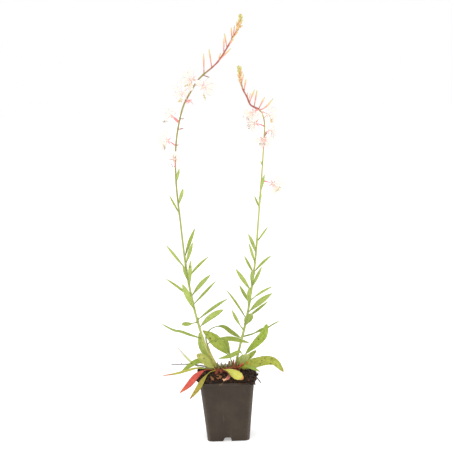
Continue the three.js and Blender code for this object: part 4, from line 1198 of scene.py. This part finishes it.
# Stems and leaves
LEFT = {
    "curve": Curve([(-13, 0, STEM_FOOT), (-16, 0, 114), (-30, -1, 141), (-45, -4, 194), (-54, -6, 240),
                    (-60, -7, 285), (-65, -8, 344), (-70, -6, 412), (-69, -3, 462), (-64, 0, 497),
                    (-54, 5, 532), (-45, 7, 548), (-32, 10, 568), (-23, 11, 577), (-10, 13, 587),
                    (1, 15, 597), (14, 17, 615), (24, 19, 631), (33, 20, 646), (37, 20, 656),
                    (38.7, 20, 670)]),
    "green": 425,
}
RIGHT = {
    "curve": Curve([(15, 4, STEM_FOOT), (15, 4, 112), (23, 6, 146), (34, 8, 186), (43.4, 11, 234),
                    (51.6, 12, 286), (57.4, 12, 343), (62.4, 9, 394), (67, 6, 442), (71, 3, 493),
                    (70.5, 1, 504), (67.5, -2, 514), (62, -5, 521.5), (56, -6, 524.5), (50, -7, 528.5),
                    (47, -8, 534), (44, -9, 542), (40, -10, 549.5), (36.5, -11, 559), (34.5, -12, 570),
                    (32.8, -12, 589.5)]),
    "green": 400,
}


def share_at(stem, height):
    low = 0.0
    high = 1.0
    for _ in range(30):
        middle = (low + high) / 2
        if stem["curve"].at(middle)[2] < height:
            low = middle
        else:
            high = middle
    return low


def point_at(stem, height):
    return stem["curve"].at(share_at(stem, height))


def stem_leaf(at, shade, reach, width, roll=0, **shape):
    """A leaf on a stem: the height it leaves at, how dark it is (its own darker green and painted shade),
    its tip from there, its shape.
    """
    return {"at": at, "shade": shade, "reach": reach, "shape": {"width": width, "roll": roll, **shape}}


# The second number of each row darkens the leaf: partly its own darker green, partly painted shade where
# a leaf shows its underside in shade.
LEFT_LEAVES = [
    stem_leaf(411, 0.2, (6, -6, 23), 4.5, -40),
    stem_leaf(375, 0.25, (9, -14, 28), 5.8, -32, peak=1.3),
    stem_leaf(362, 0, (-16, 15, 29), 3.4, -40),
    stem_leaf(292, 0.45, (18, 8, 46), 5.8, 60, bend=(-1, 0, 2)),
    stem_leaf(281, 0.3, (13, -10, 37), 5.8, -50),
    stem_leaf(272, 0.3, (-30, -15, 43), 4.6, 60, peak=1.3),
    stem_leaf(252, 0.6, (-8, -14, 32), 6, 25),
    stem_leaf(245, 0.1, (4, -28, 47), 6, -5),
    stem_leaf(259, 0.3, (34, 20, 31), 4.4, 60, bend=(-2, 0, 3)),
    stem_leaf(229, 0.65, (32, -14, 37), 7.2, -66, bend=(-2, 0, 3)),
    stem_leaf(216, 0.5, (37, 20, 34), 4.4, 60),
    stem_leaf(226, 0.3, (-42, 20, 30), 4.2, -62, bend=(2, 0, 2)),
    stem_leaf(206, 0.05, (-17, -31, 49), 9.5, 28, full=0.75),
    stem_leaf(190, 0.8, (49, -14, 36), 5.2, -72, wave=0.8, full=0.7, bend=(-2, 0, 3)),
    stem_leaf(178, 0.45, (39, -20, 32), 9.5, -68, peak=1.25, full=0.6, bend=(-4, 0, 4)),
    stem_leaf(187, 0.3, (-24, -41, 5), 9, -40, peak=1.5, stalk=0.35, foot=1.1, full=0.7),
    stem_leaf(160, 0.5, (-67, 28, 20), 6, -30, steps=7, full=0.6, stalk=0.15,
              through=[(-45, 0, 162), (-57, 5, 165), (-71, 12, 169), (-83, 18, 170.5)]),
]
RIGHT_LEAVES = [
    stem_leaf(432, 0, (-3, -4, 9), 3),
    stem_leaf(376, 0.1, (2, -7, 14), 4, -20),
    stem_leaf(391, 0.2, (7, -8, 29), 4.6, -36),
    stem_leaf(366, 0.3, (-7, 11, 18), 3.4, -28),
    stem_leaf(311, 0.05, (19, 12, 23), 3.2, 60),
    stem_leaf(292, 0.5, (-12, -12, 34), 6, 36, bend=(2, 0, 2)),
    stem_leaf(277, 0.3, (-9, -18, 35), 4.6, 16),
    stem_leaf(260, 0.2, (-14, 12, 28), 4.4, -40),
    stem_leaf(240, 0.7, (1, -20, 31), 6.5, -10),
    stem_leaf(262, 0.2, (30, 20, 24), 4.4, 62, bend=(-1, 0, 3)),
    stem_leaf(237, 0.4, (17, -10, 36), 5.5, -58),
    stem_leaf(232, 0.2, (-24, -10, 39), 7, 62),
    stem_leaf(213, 0.6, (-15, 14, 27), 5.5, -40),
    stem_leaf(216, 0.2, (37, -12, 25), 4.4, -66, stalk=0.25, foot=1.1, bend=(-2, 0, 3)),
    stem_leaf(208, 0.1, (1, -25, 35), 7.5, -5),
    stem_leaf(197, 0.55, (40, -10, 33), 9.5, -74, bend=(-1, 0, 3)),
    stem_leaf(189, 0.8, (36, 18, 23), 4.6, 70),
    stem_leaf(177, 1.0, (10, -36, 27), 13, -20, stalk=0.1, full=0.7),
    stem_leaf(187, 0.4, (-31, 28, 44), 3.8, -46, bend=(2, 0, 2)),
    stem_leaf(169, 0.5, (-18, -18, 38), 5.2, 42, stalk=0.3, foot=1.1, bend=(-2, 0, -2)),
    stem_leaf(159, 0.75, (61, 11, 22), 7, 20, wave=1.0, steps=9, foot=1.2, petiole=2.2, bend=(0, 0, -6)),
]


SMALL_BLADE = dict(rows=8, columns=5, thick=0.3, petiole=0.5, rib=0.05)
STEM_ROWS = 150
STEM_HAIRS = 420
SPIKE_HAIRS = 260
STIPULE_TURNS = (-0.9, 0.9)
SWELL_LENGTH = 2.2


def stem_skin(stem, low, high, thick, joints, swell):
    """A stem between two shares of its curve, thicker where leaves or flowers leave it."""
    points = [stem["curve"].at(s) for s in np.linspace(low, high, STEM_ROWS)]
    heights = np.array([p[2] for p in points])
    radii = np.linspace(thick[0], thick[1], STEM_ROWS)
    for joint in joints:
        radii = radii + swell * np.exp(-(((heights - joint) / SWELL_LENGTH) ** 2))
    return tube(points, radii, 12, seed=0.5, rough=0.07, grain=2.5)


def hairs(stem, low, high, count, long=0.9):
    """Short fine hairs that stand off a stem."""
    out = []
    for _ in range(count):
        share = rng.uniform(low, high)
        along = stem["curve"].heading(share)
        side = turned(unit(np.cross(UP, along) + 1e-6), along, rng.uniform(0, 2 * math.pi))
        start = stem["curve"].at(share) + side * 0.8
        end = start + side * (0.9 + long * rng.uniform(0.5, 1.0)) + along * 0.25
        out.append(tube([start, lerp(start, end, 0.6), end], [0.07, 0.055, 0.02], 3, seed=0.9))
    return out


def make_leafy_stem(name, stem, leaves, node, look):
    high = share_at(stem, stem["green"])
    joints = [leaf["at"] for leaf in leaves]
    parts = [stem_skin(stem, 0.0, high, (2.1, 1.35), joints, 0.35)]
    parts += hairs(stem, 0.06, high * 0.98, STEM_HAIRS)
    for leaf in leaves:
        root = point_at(stem, leaf["at"])
        tip = root + np.array(leaf["reach"], float)
        parts.append(blade(root, tip, 1, leaf["shade"], lumps=0.25, **leaf["shape"]))
        along = unit(tip - root)
        for turn in STIPULE_TURNS:
            side = turned(along, UP, turn)
            parts.append(blade(root + side, root + side * 5.0 + UP * 3.0, 1, 0.4, width=1.4,
                               **SMALL_BLADE))
    return make_piece(name, parts, [look, "leaf"], node)


YOUNG = dict(steps=8, teeth=0.05, stalk=0.25, peak=1.25, fold=0.12, rows=44, columns=13)
GROWN = dict(rows=40, columns=11)


def crown_leaf(root, tip, look, slot="leaf", young=False, **shape):
    """A leaf from the crown: its root, its tip, its look, its slot and its shape."""
    return root, tip, look, slot, {**(YOUNG if young else GROWN), "lumps": 0.3, **shape}


CROWN_LEAVES = {
    "leaf_big_left": crown_leaf((11, 8, 112), (-37, 14, 170), "leaf_spotted", bend=(12, 0, 3), width=19,
        roll=-62, stalk=0.32, peak=1.05, young=True),
    "leaf_back_left": crown_leaf((-17, 7, 111), (-42, 11, 167), "leaf_light", width=13, roll=-60,
        stalk=0.15, full=0.7, through=[(-30, 9, 128), (-38, 10, 146)], young=True),
    "leaf_toothed": crown_leaf((-20, -7, 110), (-47, -16, 137), "leaf_toothed", bend=(1, 0, 4),
        width=17.5, roll=-62, stalk=0.1, full=0.55, peak=1, teeth=0.14, young=True),
    "leaf_arched_left": crown_leaf((-23, 0, 110), (-75, -4, 104), "leaf_plain", width=9, roll=-60,
        steps=9, stalk=0.12, full=0.7, through=[(-33, 4, 119), (-44, 3, 122.5), (-59, 0, 116)]),
    "leaf_thin_left": crown_leaf((-22, -6, 109), (-102, -28, 108), "leaf_thin", "leaf_old", width=4.8,
        full=0.6, roll=-40, steps=8,
        through=[(-46, -12, 114.5), (-58, -17, 113.5), (-71, -21, 111), (-84, -24, 109)]),
    "leaf_pale_back": crown_leaf((-20, 6, 110), (-84, 48, 141), "leaf_ghost", width=5, peak=1.6,
        roll=-20, steps=8, through=[(-47, 22, 109), (-64, 36, 119)]),
    "leaf_red": crown_leaf((-17, -10, 108), (-75, -40, 82), "leaf_red", "leaf_red", width=10.5,
        roll=-50, steps=10, peak=0.95, stalk=0.3,
        through=[(-33, -16, 112), (-47, -27, 106.5), (-60, -35, 94)]),
    "leaf_olive_front": crown_leaf((-15, -8, 109), (-59, -54, 75.5), "leaf_olive", "leaf_old", width=8,
        roll=-40, steps=9, stalk=0.35, through=[(-27, -26, 110.5), (-37, -43, 103.5), (-46, -51, 91)]),
    "leaf_yellow_front": crown_leaf((-2, -8.5, 110.5), (26, -52, 105.5), "leaf_yellow", "leaf_old",
        width=14.5, roll=50, frill=0.3, teeth=0.07, steps=8, peak=1.95, full=0.6, stalk=0.15,
        through=[(3, -20, 111.3), (13, -36.4, 109.3)]),
    "leaf_curled_front": crown_leaf((-6.5, -8, 109), (-7, -47, 105), "leaf_curled", "leaf_dry",
        width=5.8, fold=0.6, stalk=0.36, peak=0.9, steps=8,
        through=[(0, -22, 109.2), (3, -36, 107.4), (2, -43.5, 104.2), (-2.4, -47.2, 103)]),
    "leaf_arched_right": crown_leaf((23, -1, 109), (90, -30, 109), "leaf_tipped", width=20, roll=45,
        stalk=0.05, peak=0.7, full=0.55, steps=9,
        through=[(36, -8, 117), (48, -15, 121), (63, -22, 125.5), (76, -27, 124.5)], young=True),
    "leaf_under_right": crown_leaf((19, -4, 109), (53, -44, 113.5), "leaf_plain", width=7, roll=20,
        steps=8, through=[(33, -20, 116.5), (43, -33, 116)]),
    "leaf_spotted_right": crown_leaf((21, 8, 110), (67, -4, 181), "leaf_plain", width=16, roll=58,
        full=0.55, peak=1.25, through=[(32, 5, 132), (48, 3, 148), (61, 0, 162.5)], young=True),
    "leaf_small_right": crown_leaf((23, 9, 110), (49, 20, 133), "leaf_spotted", width=9, roll=60,
        full=0.6, through=[(29, 10, 119), (39, 14, 126)]),
    "leaf_folded_middle": crown_leaf((16, -4, 111), (-13, -17, 130), "leaf", width=7.5, roll=-60,
        steps=9, stalk=0.5,
        through=[(20, -7, 121), (25.5, -9.5, 133), (22, -11.5, 139), (7, -14, 133.5)]),
    "leaf_pale_right": crown_leaf((21, 2, 111), (37.5, -5, 133), "leaf_pale", bend=(-5, -1, 2),
        width=15.5, roll=-60, stalk=0.08),
    "leaf_over_back": crown_leaf((-13, 7, 111), (25, 24, 153), "leaf_long", petiole=2.6, width=9.5,
        roll=60, steps=12, stalk=0.6, foot=1.5,
        through=[(-27, 12, 138), (-31.6, 15, 160.6), (-22, 18, 171.8), (-5, 21, 174), (10, 23, 163)]),
    "leaf_over_front": crown_leaf((-14.5, -6, 110), (38, -16, 154), "leaf_long", petiole=2.2, width=8.5,
        roll=55, steps=11, stalk=0.6, foot=1.3, peak=1.1,
        through=[(-25, -9, 134), (-29, -11, 152), (-16, -12, 159.5), (8, -14, 161)]),
    "leaf_upright_back": crown_leaf((5, 9, 110), (-2, 22, 156.5), "leaf", bend=(2, 1, -2), width=9,
        roll=-50, peak=2, full=0.7, stalk=0.3),
}


# How far a leaf's root is moved towards the knot that carries it
SUNK_ROOT = 0.4


def make_crown_leaves():
    for i, (node, (outside, tip, look, slot, shape)) in enumerate(CROWN_LEAVES.items()):
        nearest = min(KNOTS, key=lambda centre: float(np.linalg.norm(centre - outside)))
        root = lerp(vec(*outside), nearest, SUNK_ROOT)
        part = blade(root, tip, seed=(i * 0.618) % 1.0, **shape)
        make_piece(node.replace("leaf_", "blade_"), [part], [look], node)


# Flower spikes
def spike_bud(height, reach, **shape):
    """A bud on a spike: the height it leaves at, its tip from there, and what differs in its shape."""
    return height, reach, shape


LEFT_BUDS = [
    spike_bud(578.5, (0.3, 3, 32)),
    spike_bud(588, (-3.5, 2, 29)),
    spike_bud(610, (1, -1, 23)),
    spike_bud(618, (-3.5, 4.5, 23)),
    spike_bud(631, (-0.5, 4, 19)),
    spike_bud(597, (21, -5, 20)),
    spike_bud(622, (8, -3, 9)),
    spike_bud(636, (6.5, -3, 6)),
    spike_bud(598, (4, -5, 12)),
    spike_bud(510, (7, -3, 0), wide=0.9, dry=True),
    spike_bud(494, (9, -4, 1), wide=1, dry=True),
    spike_bud(469, (5, -3, 1), wide=0.8, dry=True),
    spike_bud(577, (10, -2, -4), wide=0.8, dry=True),
    spike_bud(448, (-6, 3, 9), wide=0.6, dry=True),
    spike_bud(624, (9, -4, 13), wide=0.9),
    spike_bud(634, (3, 2, 19), wide=1.0),
    spike_bud(639, (7.5, -3, 15), wide=0.9),
    spike_bud(644, (0.5, 3, 15), wide=0.9),
    spike_bud(646, (5, -3, 13), wide=0.9),
    spike_bud(662, (3, -1, 7), wide=1.1, seed=0.9),
    spike_bud(663, (-1.5, 1, 6.5), wide=1.1, seed=0.9),
]
RIGHT_BUDS = [
    spike_bud(521.5, (10, -5, 18.5)),
    spike_bud(520.5, (21.5, -9, 17), sag=4),
    spike_bud(525, (5.5, 4, 26)),
    spike_bud(532, (9, -3, 20)),
    spike_bud(535, (4, -5, 12), wide=0.7),
    spike_bud(549.5, (4, -4, 19.5)),
    spike_bud(541, (1.5, 5, 7), wide=0.7),
    spike_bud(478, (5, -5, 7), wide=0.8, dry=True),
    spike_bud(470, (-5, -3, 5), wide=0.7, dry=True),
    spike_bud(553, (-3, -2, 5), wide=0.7),
    spike_bud(556, (-3.5, 1, 12), wide=0.8),
    spike_bud(560, (4.5, -3, 17), wide=0.9),
    spike_bud(565, (-2.5, -3, 14), wide=0.9),
    spike_bud(568, (3.5, 2, 13), wide=0.9),
    spike_bud(572, (3, -2, 14), wide=0.9),
    spike_bud(580, (2.8, -1, 8.5), wide=1.2, seed=0.9),
    spike_bud(581, (-2.8, 1, 7.5), wide=1.2, seed=0.9),
    spike_bud(583, (0.3, -1.5, 6), wide=1.2, seed=0.9),
]


BUD = [(0, 0.62), (0.16, 0.72), (0.3, 0.62), (0.45, 0.92), (0.65, 1.12), (0.82, 0.95), (0.93, 0.62),
       (1.0, 0.22)]
DRY_BUD = [(0, 0.62), (0.3, 0.75), (0.6, 1.0), (0.85, 0.8), (1.0, 0.55)]


def bud(root, reach, wide=1.15, seed=0.0, dry=False, sag=0.0):
    """A bud: thin ovary, swelling, and a pointed tip of closed sepals with a groove between them."""
    reach = np.asarray(reach, float)
    sized = [(share, radius * wide) for share, radius in (DRY_BUD if dry else BUD)]
    sway = np.cross(reach, UP) * 0.04 - UP * 2 * sag
    return spindle(root, root + reach, sized, 10, 17, bend=sway, material=2 if dry else 1, seed=seed,
                   rough=0.10, grain=1.2)


def bract(root, reach, seed, material=1):
    """A narrow scale at the foot of a bud or a flower."""
    side = unit(np.asarray(reach, float) + vec(0.4, -0.3, -0.2) * np.linalg.norm(reach))
    return blade(root, root + side * 3.4, material, seed, width=1.5, **SMALL_BLADE)


def off_stem(stem, share, turn):
    """A place on a stem, the way it runs there, and a direction that stands off it."""
    along = stem["curve"].heading(share)
    return stem["curve"].at(share), along, turned(unit(np.cross(UP, along)), along, turn)


def tip_buds(stem, start_height, count, length):
    """The young tip: small buds set round the end of the stem, shorter towards the top."""
    out = []
    start = share_at(stem, start_height)
    for i in range(count):
        share = lerp(start, 0.975, (i / (count - 1)) ** 0.65)
        root, along, side = off_stem(stem, share, i * GOLDEN_TURN)
        long = lerp(length, length * 0.65, i / count)
        out.append(bud(root, (along + side * 0.5) * long, 1.1, seed=(i / count) ** 1.7))
    return out


def between_buds(stem, start_height, count, length):
    """Still smaller buds and bracts that fill the tip between the larger ones."""
    out = []
    start = share_at(stem, start_height)
    for i in range(count):
        share = lerp(start, 0.99, (i + 0.5) / count)
        root, along, side = off_stem(stem, share, i * GOLDEN_TURN + 1.1)
        long = lerp(length, length * 0.5, i / count)
        out.append(bud(root, (along + side * 0.5) * long, 0.8, seed=0.1 + 0.9 * (i / count) ** 1.5))
        out.append(bract(root, side + along * 0.3, 0.8))
    return out


def make_spike(name, stem, buds, tips, node, look):
    low = share_at(stem, stem["green"] + GAP)
    joints = [height for height, _, _ in buds]
    parts = [stem_skin(stem, low, 1.0, (1.4, 0.95), joints, 0.22)]
    parts += hairs(stem, low + 0.01, 0.97, SPIKE_HAIRS, long=0.6)
    for i, (height, reach, shape) in enumerate(buds):
        root = point_at(stem, height)
        parts.append(bud(root, reach, **{"seed": (i * 0.31) % 0.5 * 0.4, **shape}))
        parts.append(bract(root, reach, 0.2))
    parts += tips
    return make_piece(name, parts, [look, "bud", "stub"], node)


# Blooms
PETAL_SPREAD = 1.12


def flower(stem, at, mouth, fan, face, hang, **more):
    """A flower: the height it leaves its stem at, its mouth, and where it fans, faces and hangs.

    pale and cream tint its tube and its petals, fat swells the tube, size and reach scale the petals
    and the stamens, petals gives their turns and splay how far the sepals stand out."""
    out = unit(vec(*face))
    fan = vec(*fan)
    fan = unit(fan - out * float(fan @ out))
    return {"root": point_at(stem, at), "mouth": vec(*mouth), "out": out, "fan": fan,
            "across": unit(np.cross(fan, out)), "hang": unit(vec(*hang)), **more}


BLOOMS = {
    "left_1": flower(LEFT, 568, (-40, 2, 570), (-0.35, 0.1, 0.94), (-0.3, -0.95, 0), (-0.5, -0.4, -0.8),
        anther="anther_yellow", petals=(-72, -24, 24, 205), pale=0.85, cream=0.1, size=1.2),
    "left_2": flower(LEFT, 562, (-23, 2, 559), (0.95, 0, 0.25), (0.2, -0.9, -0.3), (0, -0.3, -1),
        anther="anther_yellow", petals=(-120, -36, 10, 56), pale=0.8, cream=0.3, size=1.25, reach=1.4),
    "left_3": flower(LEFT, 546, (-54, 6, 550), (-0.45, 0.3, 0.9), (-0.7, -0.6, -0.1), (0, -0.2, -1),
        anther="anther_yellow", petals=(-72, -24, 24, 120), pale=0.8, cream=0.25, size=1.25),
    "left_4": flower(LEFT, 504, (-74, -2, 515), (-0.2, 0, 1), (-0.6, -0.75, 0.1), (-0.5, -0.2, -0.8),
        fat=1.8, size=0.85),
    "left_5": flower(LEFT, 468, (-81, -8, 477), (-1, 0, 0.15), (-0.15, -0.95, 0.1), (-0.3, -0.2, -0.9)),
    "left_6": flower(LEFT, 434, (-72, -11, 448), (0.6, 0, 0.8), (0.1, -0.95, 0.1), (-0.3, -0.4, -0.8),
        size=0.85),
    "right_1": flower(RIGHT, 522, (55, -12, 518), (-0.25, -0.2, -1), (-0.3, -0.95, 0.1),
        (-0.8, -0.2, -0.65), reach=1.4),
    "right_2": flower(RIGHT, 517, (76, 5, 513), (0.9, 0.4, 0.1), (0.6, -0.75, 0.1), (0.1, -0.3, -0.9),
        anther="anther_yellow", pale=0.7),
    "right_3": flower(RIGHT, 494, (57, -1, 500), (-1, 0.1, -0.05), (-0.25, -0.95, 0),
        (-0.95, -0.3, -0.35)),
    "right_4": flower(RIGHT, 482, (79, 9, 488), (0.6, 0.4, -0.5), (0.8, -0.5, 0.3), (-0.2, 0, -1),
        size=0.9, pale=0.7),
    "right_5": flower(RIGHT, 458, (69, -5, 475), (0.05, -0.1, -1), (0, -1, 0.15), (-0.35, -0.6, -0.8),
        petals=(-82, -28, 28, 82)),
    "right_6": flower(RIGHT, 409, (82, 4, 404), (0.9, 0, -0.35), (0.3, -0.9, 0), (0.5, -0.3, -0.8),
        anther="anther_yellow"),
}
SPENT = flower(LEFT, 535, (-43, 1, 538), (0.2, 0, 1), (0.6, -0.5, 0.4), (0, 0, -1), splay=1.4)
CALYX_TUBE = [(0, 0.75), (0.12, 1.0), (0.3, 1.28), (0.5, 1.2), (0.62, 0.86), (0.85, 0.84), (1.0, 1.05)]
THROAT = [(0, 0.2), (0.25, 0.85), (0.5, 1.0), (0.75, 0.85), (1, 0.2)]
SEPAL = dict(width=SEPAL_WIDTH + 0.3, rows=18, columns=7, foot=0.6, stalk=0.05, peak=0.9, full=0.7,
             fold=0.35, thick=0.5, petiole=0.9, rib=0.25, lumps=0.1)
PETAL = dict(foot=0.32, stalk=0.1, peak=1.5, full=0.75, fold=-0.12, thick=0.30, petiole=0.6, rib=0.1,
             rows=30, columns=15, lumps=0.30, notch=0.9, frill=0.22)


def calyx_parts(bloom):
    root = bloom["root"]
    mouth = bloom["mouth"]
    out = bloom["out"]
    fat = bloom.get("fat", 1.0)
    pale = bloom.get("pale", 0.05)
    way = Bow(root, (root + mouth) / 2 + vec(0, 0, 1.5), mouth)
    swollen = [(share, radius * (fat if share < 0.9 else 1.0)) for share, radius in CALYX_TUBE]
    parts = [line_tube(way, swollen, 22, 12, seed=pale, rough=0.10, grain=1.5)]
    throat = mouth - out * 0.35
    parts.append(spindle(throat - out * 0.9, throat + out * 0.9, THROAT, 12, 9, seed=pale))
    for i, turn in enumerate(SEPAL_TURNS):
        angle = math.radians(turn)
        flat = -bloom["fan"] * math.cos(angle) + bloom["across"] * math.sin(angle)
        direction = unit(flat * bloom.get("splay", 0.8) - out * 0.55)
        start = mouth - out * 0.6 + flat * 0.55
        end = start + direction * SEPAL_LENGTH
        parts.append(blade(start, end, 0, pale + i * 0.04, bend=tuple(out * 0.9),
                           level=unit(np.cross(direction, out)), **SEPAL))
    parts.append(bract(root, mouth - root, 0.1, material=0))
    return parts


def stigma(centre, along, across, out):
    """Four short lobes at the end of the style."""
    lobes = []
    for turn in (0, 90, 180, 270):
        angle = math.radians(turn + 20)
        side = across * math.cos(angle) + out * math.sin(angle)
        end = centre + unit(along * 0.5 + side) * 1.1
        lobes.append(spindle(centre - along * 0.2, end, [(0, 0.26), (0.6, 0.28), (1, 0.12)], 6, 5,
                             material=1))
    return lobes


SAC = [(0, 0.16), (0.2, 0.36), (0.5, 0.42), (0.8, 0.36), (1, 0.16)]


def anther(centre, direction, along, seed):
    """Two joined pollen sacs, hung by the middle."""
    half = direction * 1.35
    side = unit(np.cross(direction, along)) * 0.26
    return [spindle(centre - half + shift, centre + half + shift, SAC, 8, 9, bend=tuple(along * 0.5),
                    material=2, seed=seed, rough=0.05, grain=0.5) for shift in (-side, side)]


DISC = [(DISC_FROM, 0.9), (DISC_FROM + 0.15, 1.3), (DISC_FROM + 0.6, 1.6), (DISC_TO - 0.7, 1.7),
        (DISC_TO - 0.25, 1.45), (DISC_TO - 0.05, 0.9)]
FILAMENT = [(0, 0.30), (1, 0.20)]
STYLE = [(0, 0.34), (1, 0.26)]
STAMENS = 8


def corolla_parts(bloom, seed):
    """The disc, four petals, eight stamens with their anthers, and the style."""
    mouth = bloom["mouth"]
    out = bloom["out"]
    fan = bloom["fan"]
    across = bloom["across"]
    hang = bloom["hang"]
    size = bloom.get("size", PETAL_SPREAD)
    stamen = STAMEN_LENGTH * bloom.get("reach", 1.0)
    centre = mouth + out * (DISC_FROM + DISC_TO) / 2
    parts = [tube([mouth + out * far for far, _ in DISC], [radius for _, radius in DISC], 16, 1, seed,
                  rough=0.08, grain=0.9)]
    for i, turn in enumerate(bloom.get("petals", PETAL_TURNS)):
        angle = math.radians(turn)
        flat = fan * math.cos(angle) + across * math.sin(angle)
        direction = unit(flat + out * 0.2)
        root = centre + flat * 1.15 - out * 0.5
        tip = centre + direction * PETAL_LENGTH * size
        wobble = 0.25 * math.sin(i * 2.3 + seed * 9)
        parts.append(blade(root, tip, 0, bloom.get("cream", 0.0) + i * 0.03, width=PETAL_WIDTH * size,
                           level=unit(np.cross(direction, out)), bend=tuple(out * (1.6 + wobble)),
                           **PETAL))
    for i in range(STAMENS):
        column = (i % 4) * 1.05 - 1.575
        layer = (i // 4) * 2 - 1
        long = stamen * (1 - 0.07 * (i % 2)) * rng.uniform(0.94, 1.02)
        start = centre + across * column * 0.62 + out * (layer * 0.4 + 0.5) + hang * 0.5
        direction = unit(hang + across * column * 0.22 + out * (0.4 + 0.12 * layer))
        sway = across * rng.uniform(-0.8, 0.8) + out * 0.6
        end = start + direction * long
        line = Bow(start, (start + end) / 2 + sway, end)
        parts.append(line_tube(line, FILAMENT, 12, 6, material=1, seed=0.3))
        tilt = unit(direction + across * rng.uniform(-0.8, 0.8) + out * rng.uniform(-0.4, 0.4))
        parts += anther(end - direction * 0.4, tilt, direction, rng.uniform(0, 1))
    start = centre + out * 0.5 + hang * 0.5
    direction = unit(hang + out * 0.4)
    end = start + direction * stamen * 1.2
    line = Bow(start, (start + end) / 2 + out * 0.8, end)
    parts.append(line_tube(line, STYLE, 14, 6, material=1, seed=0.8))
    parts += stigma(end, direction, across, out)
    return parts


def make_blooms():
    for i, (name, bloom) in enumerate(BLOOMS.items()):
        seed = (i * 0.2887) % 1.0
        make_piece(f"flower_tube_{name}", calyx_parts(bloom), ["calyx"], f"calyx_{name}")
        looks = ["petal", "filament", bloom.get("anther", "anther_grey")]
        make_piece(f"flower_{name}", corolla_parts(bloom, seed), looks, f"petals_{name}")
    make_piece("flower_tube_spent", calyx_parts(SPENT), ["calyx"], "calyx_spent")


# Floor, light and camera
FLOOR_GLOW = 0.4
FLOOR_HALF = 40.0
LIGHT_TARGET = (0, 0, 0.3)


def floor_material():
    s = Shader("pale_floor")
    cloud = s.noise(400.0, 2.0, 0.4)
    colour = s.mix(cloud, (0.93, 0.93, 0.93), (0.95, 0.95, 0.95))
    s.surface.inputs["Emission Color"].default_value = (1.0, 1.0, 1.0, 1.0)
    s.surface.inputs["Emission Strength"].default_value = FLOOR_GLOW
    return s.finish(colour, s.band(cloud, 0.3, 0.7, 0.85, 0.95), s.bump(s.noise(2.0), 0.05, 0.1), 0.1)


def make_floor():
    mesh = bpy.data.meshes.new("studio_floor")
    corners = [(x * FLOOR_HALF, y * FLOOR_HALF, 0) for x, y in ((-1, -1), (1, -1), (1, 1), (-1, 1))]
    mesh.from_pydata(corners, [], [(0, 1, 2, 3)])
    mesh.materials.append(floor_material())
    floor = add_object("studio_floor", mesh)


def soft_light(name, place, size, watts):
    data = bpy.data.lights.new(name, "AREA")
    data.shape = "SQUARE"
    data.size = size
    data.energy = watts
    light = add_object(name, data)
    light.location = place
    light.rotation_euler = (Vector(LIGHT_TARGET) - Vector(place)).to_track_quat("-Z", "Y").to_euler()


def make_light():
    world = bpy.data.worlds.new("studio")
    world.use_nodes = True
    background = world.node_tree.nodes["Background"]
    background.inputs["Color"].default_value = (1.0, 1.0, 1.0, 1.0)
    background.inputs["Strength"].default_value = 1.0
    bpy.context.scene.world = world
    soft_light("key", (-1.1, -1.6, 1.7), size=1.2, watts=8)
    soft_light("fill", (1.6, -1.2, 1.0), size=1.4, watts=3)
    bpy.context.scene.view_settings.view_transform = "Standard"


CAMERA_PLACE = (0.006, -1.700, 0.5409)
CAMERA_PITCH = math.radians(6.752)
CAMERA_ROLL = math.radians(-1.735)
CAMERA_LENS = 86.33


def make_camera():
    data = bpy.data.cameras.new("camera")
    data.sensor_fit = "HORIZONTAL"
    data.sensor_width = 36.0
    data.lens = CAMERA_LENS
    camera = add_object("camera", data)
    look = Matrix.Rotation(math.pi / 2 - CAMERA_PITCH, 4, "X")
    roll = Matrix.Rotation(CAMERA_ROLL, 4, "Z")
    camera.matrix_world = Matrix.Translation(CAMERA_PLACE) @ look @ roll
    bpy.context.scene.camera = camera


make_pot()
make_soil()
make_crown()
make_leafy_stem("leafy_stem_left", LEFT, LEFT_LEAVES, "stem_left", "stalk_left")
make_leafy_stem("leafy_stem_right", RIGHT, RIGHT_LEAVES, "stem_right", "stalk_right")
make_spike("flower_spike_left", LEFT, LEFT_BUDS,
           tip_buds(LEFT, 636, 13, 10) + between_buds(LEFT, 630, 26, 6.5), "spike_left", "rachis_left")
make_spike("flower_spike_right", RIGHT, RIGHT_BUDS,
           tip_buds(RIGHT, 565, 10, 8) + between_buds(RIGHT, 560, 22, 6), "spike_right", "rachis_right")
make_crown_leaves()
make_blooms()
make_floor()
make_light()
make_camera()
